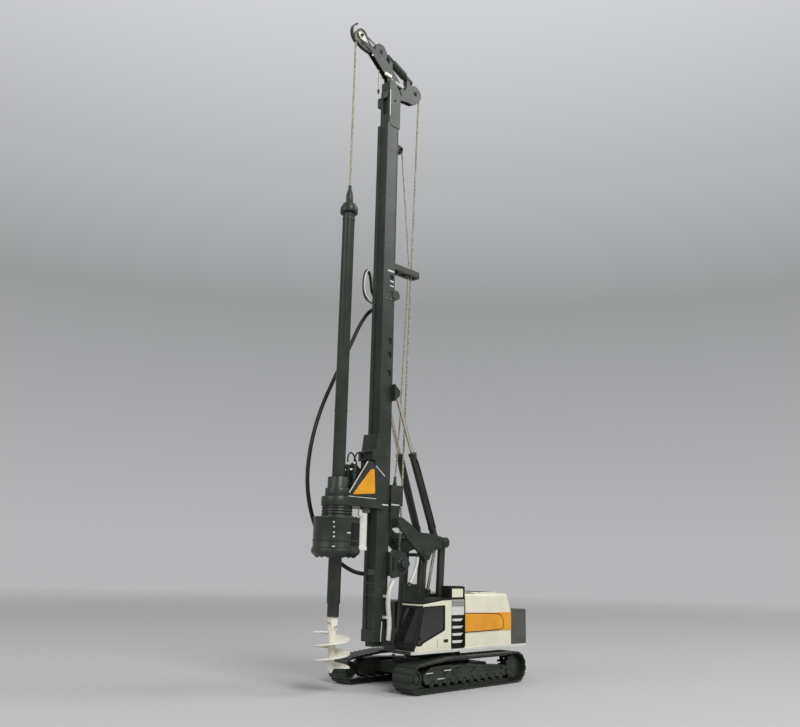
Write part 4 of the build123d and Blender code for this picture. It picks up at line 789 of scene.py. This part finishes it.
seal = rim(rounded(inset(SIDE_WINDOW, -0.55), 1.1), 0.95, CAB_SIDE - 0.3, CAB_SIDE + 0.3)
screen = [(SCREEN_INNER, -0.9), (SCREEN_OUTER, -0.9), (SCREEN_OUTER, screen_length + 0.6),
          (SCREEN_INNER, screen_length + 0.6)]
screen_seal = on_screen(rim(rounded(screen, 0.5), 1.5, -0.3, 0.4, "yz"), 1.2)
rear_seal = rim(rounded(REAR_WINDOW, 1.0), 0.9, 15.1, 15.7, "yz")
piece("cab_window_seals", [seal, screen_seal, rear_seal], "upper", BLACK, ring=True)

# %% Cab fittings
PILLAR_FACE = ((47.6, 61.4), (50.2, 61.4), (57.3, 33.9), (57.9, 31.6), (57.2, 29.4), (55.2, 32.8),
               (54.7, 33.4))
NOSE = ((57.25, 29.0), (57.95, 31.4), (56.8, 33.9), (56.0, 33.9), (57.0, 31.4), (56.4, 29.0))

pillar = slab(PILLAR_FACE, CAB_SIDE - 0.3, CAB_SIDE + 0.22, edge=0.08)
inner_pillar = slab(PILLAR_FACE, 15.4, 15.8, edge=0.08)
nose = slab(NOSE, 15.7, CAB_SIDE + 0.1, edge=0.05)
handle = side_plates([(19.4, 24.0, 34.2, 36.4)], CAB_SIDE, 0.5, 0.2)
door_gap = side_plates([(31.4, 31.75, 30.8, 36.6)], CAB_SIDE, 0.1, 0.05)
wiper = [on_screen(rod((0.3, 20.0, 1.5), (0.3, 20.6, 19.5), 0.22, 8, 0.05), 1.5),
         on_screen(rod((0.1, 21.6, 4.5), (0.1, 21.6, 21.5), 0.3, 8, 0.05), 1.5)]
hinges = [rod((50.9, CAB_SIDE + 0.35, z), (50.9, CAB_SIDE + 0.35, z + 2.2), 0.45, 10, 0.1)
          for z in (37.0, 44.5)]
fittings = handle + door_gap + wiper + hinges + [pillar, inner_pillar, nose]
piece("cab_dark_fittings", fittings, "upper", BLACK)
lip = box((49.7, 15.8, 61.7), (51.2, 34.9, 62.4), 0.2)
piece("cab_roof_lip", [lip], "upper", CREAM)

# %% Steps
treads = [box((0.6, 33.7, z), (13.2, 34.0, z + 0.9), 0.1) for z in 34.0 + 5.4 * np.arange(4)]
piece("column_step_edges", treads, "upper", SILVER)

# %% [markdown]
# ## Linkage pins and cylinders
#
# Each pin of the linkage shows a round head with a keeper bolt beside it. The backstay cylinders
# have a gland nut where the rod enters the tube, a collar at the foot, and a thin oil pipe
# between two ports. These ride on the body that carries the pin.

# %% Pins
PIN_HEADS = (
    # body, x, z, outer face y, radius
    ("upper", 26.0, 39.0, 14.2, 2.2), ("upper", 2.9, 49.5, 14.2, 2.0),
    ("knee", 22.5, 99.5, 15.0, 2.0), ("knee", -0.6, 110.0, 15.0, 2.0), ("knee", 6.8, 113.2, 14.2, 1.7),
    ("knee", 52.5, 123.7, 14.2, 2.3),
)
for body in ("upper", "knee"):
    heads = []
    for owner, x, z, y, radius in PIN_HEADS:
        if owner == body:
            profile = ((0, radius), (0.6, radius), (0.9, radius - 0.3), (0.9, 0.9), (0.6, 0.7), (0.6, 0.2))
            heads.append(side_turned(x, z, y - 0.2, profile, 24))
            heads += bolts([(x + radius + 0.9, y - 0.1, z)], (0, 1, 0), 0.4, 0.6)
    pair(body + "_pin_heads", heads, body, GRAPHITE)

# %% Backstay cylinders
STAY_LINE = ((6.8, 113.2), (53.2, 228.0))
STAY_TUBE_END, STAY_FOOT_Y, STAY_HEAD_Y = 73.0, 8.8, 6.2
COLLAR = ((0, 3.0), (0.2, 3.35), (2.2, 3.35), (2.4, 3.0))
PORTS_AT = (10.0, 66.0)    # along the tube from its foot
OIL_PIPE = (
    # along the tube, out from its middle
    (10.0, 3.6), (12.5, 4.2), (38.0, 4.2), (63.5, 4.2), (66.0, 3.6),
)
for side, word in ((1, "left"), (-1, "right")):
    foot = np.array((STAY_LINE[0][0], side * STAY_FOOT_Y, STAY_LINE[0][1]))
    head = np.array((STAY_LINE[1][0], side * STAY_HEAD_Y, STAY_LINE[1][1]))
    way = (head - foot) / np.linalg.norm(head - foot)
    out = np.array((0, side, 0))
    collar = [turned(foot + way * at, foot + way * (at + 5), COLLAR, 24) for at in (STAY_TUBE_END - 2.6, 8.0)]
    piece("backstay_collars_" + word, collar, "backstay_tube_" + word, GRAPHITE)
    port = [rod(foot + way * at, foot + way * at + out * 4.2, 0.7, 12, 0.15) for at in PORTS_AT]
    pipe = carry(smooth([foot + way * at + out * reach for at, reach in OIL_PIPE]), circle(0.45, 8))
    piece("backstay_oil_pipe_" + word, port + [pipe], "backstay_tube_" + word, BLACK)

# %% [markdown]
# ## Winch
#
# The winch hangs on the mast's rear between two cheeks. Its side shows a motor flange with a
# ring of bolts and a dark slot. Beside it, a bright bent pipe hangs from the knee.

# %% Winch fittings
CHEEK_FACE = span("winch_frame")[1][1]
MOTOR = ((0, 5.0), (1.0, 5.0), (1.3, 4.6), (1.3, 3.2), (3.2, 3.0), (3.8, 2.4), (3.8, 1.2))
WINCH_SLOT = (54.2, 56.4, 86.5, 97.0)

motor = side_turned(winch[0], winch[1], CHEEK_FACE - 0.3, MOTOR, 28)
ring = bolts(round_about((winch[0], CHEEK_FACE + 0.9, winch[1]), 4.2, 8, 0.2, "xz"), (0, 1, 0), 0.5, 0.8)
pair("winch_motor", [motor] + ring, "mast", GRAPHITE)
pair("winch_slot", side_plates([WINCH_SLOT], CHEEK_FACE, 0.4, 0.2), "mast", BLACK)

# %% Knee pipe
KNEE_PIPE = ((30.7, 97.6), (31.2, 92.0), (33.3, 86.8), (36.0, 81.8), (38.8, 77.5))
PIPE_Y = 12.0

pipe = smooth([(x, PIPE_Y, z) for x, z in KNEE_PIPE])
piece("knee_oil_pipe", [carry(pipe, circle(1.35, 16))], "knee", SILVER)
pipe_ends = [rod((38.8, PIPE_Y, 77.5), (40.6, PIPE_Y, 74.4), 1.6, 16, 0.2),
             rod((30.7, PIPE_Y, 97.6), (30.6, PIPE_Y, 99.6), 1.6, 16, 0.2)]
piece("knee_oil_pipe_ends", pipe_ends, "knee", GRAPHITE)

# %% [markdown]
# ## Mast
#
# The mast is a welded box. Joints show as thin seams, small bright and dark plates mark where
# fittings sit, and a row of bolts holds the flange at mid height. All the small plates stand a
# few tenths of a millimetre proud of the face.

# %% Mast side
MAST_SIDE, MAST_FRONT, BOX_FRONT = 5.3, span("mast_lower")[1][0], 69.5
FORK_SIDE, GUIDE_Z = 8.65, 341.6
MAST_PLATES = (
    # from x, to x, from z, to z
    (58.6, 66.0, 332.3, 333.6), (58.6, 63.0, 323.5, 324.7), (58.6, 63.0, 319.2, 320.3),
    (57.6, 69.0, 308.2, 308.8),
)
SOCKETS = ((63.1, 64.5, 80.7, 82.2), (63.4, 64.8, 73.9, 75.4))
SEAMS = [(57.3, 69.2, z, z + 0.4) for z in (52.0, 118.0, 196.0, 250.0, 358.0, 402.0, 446.0)]

plates = side_plates(MAST_PLATES, MAST_SIDE, 0.3)
plates += [box((48.0, 7.1, 136.9), (57.0, 7.5, 137.9), 0.1), box((68.6, 5.2, 60.0), (69.6, 5.7, 61.0), 0.1)]
pair("mast_bright_plates", plates, "mast", SILVER)
pair("mast_dark_sockets", side_plates(SOCKETS, MAST_SIDE, 0.2), "mast", BLACK)
fork_plates = side_plates([(62.0, 68.5, 136.0, 137.0)], FORK_SIDE, 0.3)
pair("fork_bright_plates", fork_plates, "drive", SILVER)
rollers = [rod((x, -2.5, GUIDE_Z), (x, 2.5, GUIDE_Z), 0.9, 14, 0.2) for x in (28.2, 35.3, 38.7, 45.8)]
piece("rope_guide_rollers", rollers, "mast", SILVER)
seams = side_plates(SEAMS, MAST_SIDE, 0.14, 0.05)
stiffener = side_plates([(57.9, 58.5, 345.0, 466.0)], MAST_SIDE, 0.25)
pair("mast_seams", seams + stiffener, "mast", GRAPHITE)

flange = []
for z, way in ((308.9, -1), (313.1, 1)):
    flange += bolts([(x, 5.6, z) for x in (59.5, 62.5, 65.5, 68.5)], (0, 0, way), 0.55, 0.8)
pair("mast_joint_bolts", flange, "mast", BLACK)

# %% Mast front and foot
FRONT_LINES = ((76.8, 0.5), (74.6, 0.3), (68.3, 0.5))    # z, height

lines = [box((MAST_FRONT - 0.1, -6.2, z), (MAST_FRONT + 0.15, 6.2, z + high), 0.05)
         for z, high in FRONT_LINES]
patch = box((MAST_FRONT - 0.1, -1.7, 83.0), (MAST_FRONT + 0.25, 6.3, 87.5), 0.1)
piece("mast_front_plates", lines + [patch], "mast", SLATE)
foot_bolts = bolts([(x, 6.7, 38.5) for x in (59, 63, 67, 70.5)], (0, 1, 0), 0.6, 0.7)
pair("mast_foot_bolts", foot_bolts, "mast", GRAPHITE)
band = box((BOX_FRONT - 0.2, -3.0, 497.5), (BOX_FRONT + 0.35, 3.0, 503.5), 0.1)
piece("mast_head_plate", [band], "mast", SLATE)
# A silver strip that paints the highlight along the mast head's front edge.
head_edge_highlight = box((68.6, 5.7, 478.0), (69.3, 6.0, 504.0), 0.08)
pair("mast_head_painted_highlight", [head_edge_highlight], "mast", SILVER)

# %% [markdown]
# ## Hoses on the mast
#
# Small oil lines climb the mast and stand out from it in loops. On the model they are moulded
# plastic, stiff and glossy black, so they are trim and not free hoses; one silver loop paints the
# highlights along them. Each is a circle carried along a smooth line through a few points.

# %% Oil loops
def line(points, radius, sides=12):
    """A moulded pipe: a circle carried along the smooth curve through the points."""
    return carry(smooth(points), circle(radius, sides))


LOOP = np.array([(66.0, -5.8, 304.0), (69.5, -9.6, 305.5), (74.5, -12.0, 308.5), (77.6, -12.4, 315.0),
                 (78.0, -12.2, 326.0), (75.6, -12.0, 335.0), (71.4, -12.0, 335.6), (69.2, -11.6, 328.5),
                 (68.6, -10.4, 315.0), (67.2, -7.6, 308.5), (65.6, -5.8, 307.5)])
LOOP_MIDDLE = np.array((72.5, -9.0, 320.0))


def oil_loop(scale, move, radius):
    """The loop scaled about its middle and moved."""
    return line(LOOP_MIDDLE + (LOOP - LOOP_MIDDLE) * scale + move, radius)


loops = [oil_loop(1.0, (0, 0.0, 0.0), 0.6), oil_loop(0.86, (0, -1.3, 1.0), 0.6)]
piece("mast_oil_loops", loops, "mast", BLACK)
# A silver loop that paints the highlights along the black oil loops.
piece("mast_loop_painted_highlight", [oil_loop((0.93, 0.8, 0.93), (0, 1.2, 0.3), 0.5)], "mast", SILVER)
loop_clip = box((64.0, -7.2, 302.8), (68.4, -5.2, 309.0), 0.4)
piece("mast_loop_clip", [loop_clip], "mast", GRAPHITE)

# %% Mast pipes
PIPE_ROUTE = ((-5.6, 95.0), (-5.75, 140.0), (-5.75, 220.0), (-5.6, 300.0))    # y, z
CLIPS_Z = (100.0, 150.0, 200.0, 250.0, 290.0)

wire = line([(64.2, 7.1, 49.0), (64.5, 7.15, 44.0), (64.9, 7.15, 38.0), (65.1, 7.1, 34.6)], 0.35, 8)
piece("foot_bright_wire", [wire], "mast", SILVER)
runs = [line([(x, *at) for at in PIPE_ROUTE], 0.45) for x in (60.5, 62.2, 63.9)]
clips = [box((59.6, -6.5, z), (64.8, -5.2, z + 1.6), 0.2) for z in CLIPS_Z]
piece("mast_oil_pipes", runs, "mast", BLACK)
piece("mast_pipe_clips", clips, "mast", SILVER)

# %% [markdown]
# ## Mast head
#
# The head is two plates with rope wheels between them. Each axle ends in a nut, a sleeve closes
# the tube, and a small bright cylinder lies along each plate. A thin auxiliary rope with its
# hook hangs in front.

# %% Head fittings
HEAD_FACE = 2.4
HEAD_CYLINDER_Y, HEAD_CYLINDER_Z = HEAD_FACE + 1.5, 514.5
AXLE_NUTS = ((front, 1.4, 6), (mid, 2.0, 20), (rear, 2.2, 20))    # wheel, radius, sides
SLEEVE = ((0, 2.85), (0, 3.3), (0.4, 3.7), (16.2, 3.7), (16.6, 3.3), (16.6, 2.85))

nuts = [side_turned(at[0], at[1], HEAD_FACE - 0.1,
                    ((0, r), (0.5, r), (0.7, r - 0.3), (0.7, 0.9), (1.3, 0.8), (1.5, 0.5)), sides)
        for at, r, sides in AXLE_NUTS]
pair("head_axle_nuts", nuts, "mast", GRAPHITE)
block = side_plates([(65.7, 73.9, 517.5, 520.5)], HEAD_FACE, 1.4, 0.25, sunk=0.2)
pair("head_block", block, "mast", IVORY)
tube = rod((51.6, HEAD_CYLINDER_Y, HEAD_CYLINDER_Z), (62.4, HEAD_CYLINDER_Y, HEAD_CYLINDER_Z), 1.5, 20, 0.3)
rod_end = rod((62.0, HEAD_CYLINDER_Y, HEAD_CYLINDER_Z), (66.5, HEAD_CYLINDER_Y, 515.6), 0.7, 12, 0.1)
pair("head_cylinder", [tube, rod_end], "mast", SILVER)
sleeve = turned((46.5, 0, 529.9), (62.0, 0, 536.0), SLEEVE, 32)
piece("head_tube_sleeve", [sleeve], "mast", GRAPHITE, ring=True)
light_slot = side_plates([(88.0, 90.0, 529.3, 530.5)], HEAD_FACE, 0.2)
pair("head_light_slot", light_slot, "mast", IVORY)
small_nut = side_turned(small[0], small[1], 3.0, ((0, 1.3), (1.0, 1.3), (1.2, 1.0)), 6)
pair("small_sheave_nuts", [small_nut], "mast", BLACK)

# %% Auxiliary rope
HOOK = ((0, 0.6), (0.6, 1.0), (2.6, 1.0), (3.2, 0.6), (4.6, 0.5), (5.0, 0.3))

spare = tangent_path([(79.2, 521.0, 0), (78.9, 512.0, 0), (78.6, 500.5, 0)])
piece("auxiliary_rope", [twisted(in_plane(spare), SPARE_R)], "mast", ROPE)
piece("auxiliary_hook", [turned((78.6, 0, 501.5), (78.6, 0, 496), HOOK, 14)], "mast", BLACK)

# %% [markdown]
# ## Rotary drive
#
# The drive hangs on the mast's rails. Its gusset plates carry an orange panel and painted
# highlights on their edges, its drum has a bolted flange and small bright dashes, and hydraulic
# motors crowd the top. Each mark on the drum is a patch between two angles and two heights.

# %% Gusset panels
GUSSET_FACE = span("drive_gussets")[1][1]
PANEL = ((100.3, 142.5), (78.5, 144.7), (79.8, 162.7), (83.0, 162.1))
# Silver strips that paint the highlights along the gusset plates' edges.
GUSSET_PAINTED_HIGHLIGHTS = (((86.6, 168.4), (105.0, 142.8)), ((77.7, 165.7), (67.9, 158.6)),
                ((76.8, 140.3), (105.5, 140.3)))
GUSSET_BOLTS = ((72.5, 145.0), (73.5, 151.0), (74.8, 157.0), (82.0, 165.8), (96.0, 151.8), (91.0, 158.8))

panel = slab(rounded(inset(PANEL, -0.5), 1.8), GUSSET_FACE - 0.1, GUSSET_FACE + 0.35)
pair("gusset_panels", [panel], "drive", ORANGE)
gusset_highlight_strips = [flat_line(ends, GUSSET_FACE, width=0.6, proud=0.25) for ends in GUSSET_PAINTED_HIGHLIGHTS]
pair("gusset_painted_highlights", gusset_highlight_strips, "drive", SILVER)
rivets = bolts([(x, GUSSET_FACE - 0.1, z) for x, z in GUSSET_BOLTS], (0, 1, 0), 0.5, 0.6)
pair("gusset_bolts", rivets, "drive", GRAPHITE)

# %% Drum marks
DRUM_R = 17.2


def on_drum(first, last, low, high, proud=0.3, count=8):
    """A patch on the drum: rows at even angles between first and last degrees, each a small
    upright rectangle from just inside the drum's radius to proud of it, and from low to high."""
    angle = np.radians(np.linspace(first, last, count))[:, None]
    reach = np.array((DRUM_R - 0.1, DRUM_R + proud, DRUM_R + proud, DRUM_R - 0.1))[None]
    z = np.array((low, low, high, high))[None]
    return np.stack([kelly_x + reach * np.cos(angle), reach * np.sin(angle), z + 0 * angle], axis=-1)


DASHES = (
    # first angle, last angle, from z, to z
    (41, 45, 116.6, 117.5), (41, 46, 112.6, 113.5), (41, 46, 109.6, 110.5), (40, 47, 102.6, 103.4),
    (76, 86, 112.5, 113.5), (40, 44, 119.8, 121.0), (-60, -50, 112.5, 113.5), (180, 190, 112.5, 113.5),
    (250, 258, 112.5, 113.5),
)
piece("drum_bright_dashes", [on_drum(*dash) for dash in DASHES], "drive", SILVER)
panels = [on_drum(90 + turn, 132 + turn, 104.0, 120.5, proud=0.45, count=14) for turn in (0, 120)]
piece("drum_covers", panels, "drive", BLACK)
rims = [hoop(kelly_x, 0, z, 0.9, DRUM_R - 0.1, DRUM_R + 0.55, 72) for z in (107.0, 101.6)]
piece("drum_rims", rims, "drive", GRAPHITE, ring=True)

# %% Drum bolts
BOLT_RINGS = (
    # z, ring radius, count, first angle, way, bolt radius, height
    (124.2, 15.0, 18, 0.0, 1, 0.75, 1.0), (96.1, 14.2, 16, 0.1, -1, 0.75, 0.9),
    (145.8, 8.8, 14, 0.0, 1, 0.4, 0.7),
)
ring_bolts = []
for z, radius, count, first, way, size, height in BOLT_RINGS:
    ring_bolts += bolts(round_about((kelly_x, 0, z), radius, count, first), (0, 0, way), size, height)
piece("drive_ring_bolts", ring_bolts, "drive", GRAPHITE)

# %% Side shield and neck
SHIELD = ((84.4, 101.6), (91.0, 101.6), (91.8, 104.0), (91.8, 129.6), (84.4, 129.6))

shield = slab(SHIELD, 8.2, 9.0, edge=0.25)
shield_foot = box((84.4, 7.6, 101.0), (92.4, 9.6, 103.6), 0.3)
shield_tab = box((90.4, 8.0, 126.2), (93.6, 9.6, 131.4), 0.3)
piece("drive_side_shield", [shield, shield_foot, shield_tab], "drive", SILVER)
hanger = box((82.0, 6.6, 129.0), (90.0, 9.4, 133.2), 0.3)
piece("shield_hanger", [hanger], "drive", SLATE)
neck_rings = [hoop(kelly_x, 0, z, 0.8, 11.0, 11.7, 60) for z in (126.6, 128.8, 131.0)]
piece("drive_neck_rings", neck_rings, "drive", BLACK, ring=True)

# %% Motors and oil lines
MOTOR_X, MOTORS_Y = 95.0, (-3.6, 3.6)
MOTOR_BANDS = ((150.0, 3.25), (157.0, 3.2), (164.0, 2.65))    # z, radius

bands = [hoop(MOTOR_X, y, z, 1.2, r - 0.4, r, 24) for y in MOTORS_Y for z, r in MOTOR_BANDS]
piece("motor_bands", bands, "drive", GRAPHITE, ring=True)
stubs = [rod((MOTOR_X, y, 165.0), (MOTOR_X, y, 167.6), 1.1, 14, 0.2) for y in MOTORS_Y]
ports = [rod((MOTOR_X + 1, y, 161.5), (MOTOR_X + 4.6, y, 161.5), 0.8, 12, 0.15) for y in MOTORS_Y]
piece("motor_ports", stubs + ports, "drive", SILVER)

DRIVE_LOOPS = (
    ((95.0, 3.6, 167.0), (95.0, 3.8, 171.5), (92.5, 4.8, 175.5), (88.0, 6.4, 175.0), (84.0, 7.0, 170.5),
     (82.0, 7.0, 165.0)),
    ((95.0, -3.6, 167.0), (95.5, -3.8, 172.0), (92.0, -4.8, 176.5), (87.0, -6.2, 175.0), (83.5, -7.0, 170.0),
     (82.0, -7.0, 165.0)),
)
SIDE_LOOP = np.array(((99.4, 3.6, 161.5), (101.5, 3.8, 162.0), (102.4, 4.6, 158.0), (101.0, 5.6, 150.0),
                      (99.0, 6.2, 144.0), (98.5, 6.2, 139.0)))
oil_lines = [line(points, 0.6) for points in (*DRIVE_LOOPS, SIDE_LOOP, SIDE_LOOP * (1, -1, 1))]
piece("drive_oil_lines", oil_lines, "drive", BLACK)

# %% [markdown]
# ## Kelly bar and auger
#
# Rings show where the sections of the kelly bar end, its collar is bolted, and two steel pins
# hold the auger's box on the bar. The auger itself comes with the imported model.

# %% Kelly fittings
KELLY_R = 4.95
AUGER_PINS = (
    # half length along x, half length along y, z
    (4.6, 0, 49.0), (0, 4.6, 46.4),
)
rings = [hoop(kelly_x, 0, z, 1.0, KELLY_R - 0.2, KELLY_R + 0.3, 40) for z in (206.0, 366.0, 371.6)]
piece("kelly_rings", rings, "kelly", GRAPHITE, ring=True)
collar_bolts = bolts(round_about((kelly_x, 0, 376.6), 6.4, 10), (0, 0, 1), 0.4, 0.7)
piece("kelly_collar_bolts", collar_bolts, "kelly", GRAPHITE)
pins = [rod((kelly_x - x, -y, z), (kelly_x + x, y, z), 0.9, 14, 0.2) for x, y, z in AUGER_PINS]
piece("auger_pins", pins, "kelly", STEEL)

# %% [markdown]
# ## Studio: floor, backdrop and light
#
# The model stands on a pale seamless floor. A flat disc is enough: with distance its colour
# turns into the backdrop's, so no edge shows. Three soft lamps and a dim grey sky light the
# model so that each colour renders about as it is written.

# %% Studio floor
HORIZON, HAZE, ZENITH = "#b7b7b9", "#999a9b", "#d1d2d5"
FLOOR_R, BLEND_FROM, BLEND_TO = 6.0, 0.6, 2.6
FLOOR_RINGS, FLOOR_SPOKES = 8, 64

radii, turns = np.meshgrid(np.linspace(1, FLOOR_R / MM, FLOOR_RINGS),
                           np.arange(FLOOR_SPOKES) * 2 * pi / FLOOR_SPOKES, indexing="ij")
disc = np.stack([radii * np.cos(turns), radii * np.sin(turns), np.zeros_like(radii)], axis=-1)
tree, paper, where = start_material("seamless_paper", Roughness=0.6, IOR=1.4)
fibre = shades(tree, grain(tree, where, 3 * MM), "#bfbfc2", "#c4c4c7")
finish(tree, paper, fibre)
distance = add(tree, "VectorMath", {0: where}, operation="LENGTH").outputs["Value"]
far = add(tree, "MapRange", {"Value": distance, "From Min": BLEND_FROM, "From Max": BLEND_TO},
          interpolation_type="SMOOTHSTEP").outputs["Result"]
glow = add(tree, "Emission", {"Color": linear(HORIZON), "Strength": 1.0}).outputs[0]
mixed = add(tree, "MixShader", {0: far, 1: paper.outputs[0], 2: glow}).outputs[0]
output = next(node for node in tree.nodes if node.type == "OUTPUT_MATERIAL")
tree.links.new(mixed, output.inputs["Surface"])
piece("studio_floor", [disc], None, "seamless_paper", caps=False)

# %% Backdrop
SKY_STOPS = ((0.0, HORIZON), (0.31, HAZE), (0.62, ZENITH))    # height of the view's direction, colour
world = bpy.data.worlds.new("studio")
world.use_nodes = True
bpy.context.scene.world = world
sky_tree = world.node_tree
sky_tree.nodes.clear()
direction = add(sky_tree, "TexCoord").outputs["Generated"]
height = add(sky_tree, "SeparateXYZ", {"Vector": direction}).outputs["Z"]
ramp = add(sky_tree, "ValToRGB", {"Fac": height})
ramp.color_ramp.elements.new(SKY_STOPS[1][0])
for stop, (position, colour) in zip(ramp.color_ramp.elements, SKY_STOPS):
    stop.position, stop.color = position, linear(colour)
backdrop = add(sky_tree, "Background", {"Color": ramp.outputs["Color"]})
soft_sky = add(sky_tree, "Background", {"Color": linear("#f0efe9"), "Strength": 0.42})
rays = add(sky_tree, "LightPath").outputs
seen = rays["Is Camera Ray"]
for kind in ("Is Glossy Ray", "Is Transmission Ray"):
    seen = add(sky_tree, "Math", {0: seen, 1: rays[kind]}, operation="MAXIMUM").outputs[0]
both = add(sky_tree, "MixShader", {0: seen, 1: soft_sky.outputs[0], 2: backdrop.outputs[0]}).outputs[0]
sky_tree.links.new(both, add(sky_tree, "OutputWorld").inputs["Surface"])
print("sky from", HORIZON, "over", HAZE, "to", ZENITH)

# %% Lamps
LAMPS = (
    # name, place, aim height, size, watts
    ("key_lamp", (0.5, 1.3, 1.1), 0.25, 0.7, 19),
    ("front_lamp", (1.5, -0.3, 0.7), 0.25, 0.8, 6),
    ("rear_lamp", (-1.1, 0.9, 1.3), 0.3, 0.7, 9),
)
for name, at, aim, size, watts in LAMPS:
    lamp = bpy.data.lights.new(name, "AREA")
    lamp.energy, lamp.size = watts, size
    holder = bpy.data.objects.new(name, lamp)
    holder.location = at
    holder.rotation_euler = (Vector(at) - Vector((0, 0, aim))).to_track_quat("Z", "Y").to_euler()
    bpy.context.scene.collection.objects.link(holder)
bpy.context.scene.view_settings.view_transform = "Standard"
print(len(LAMPS), "lamps")
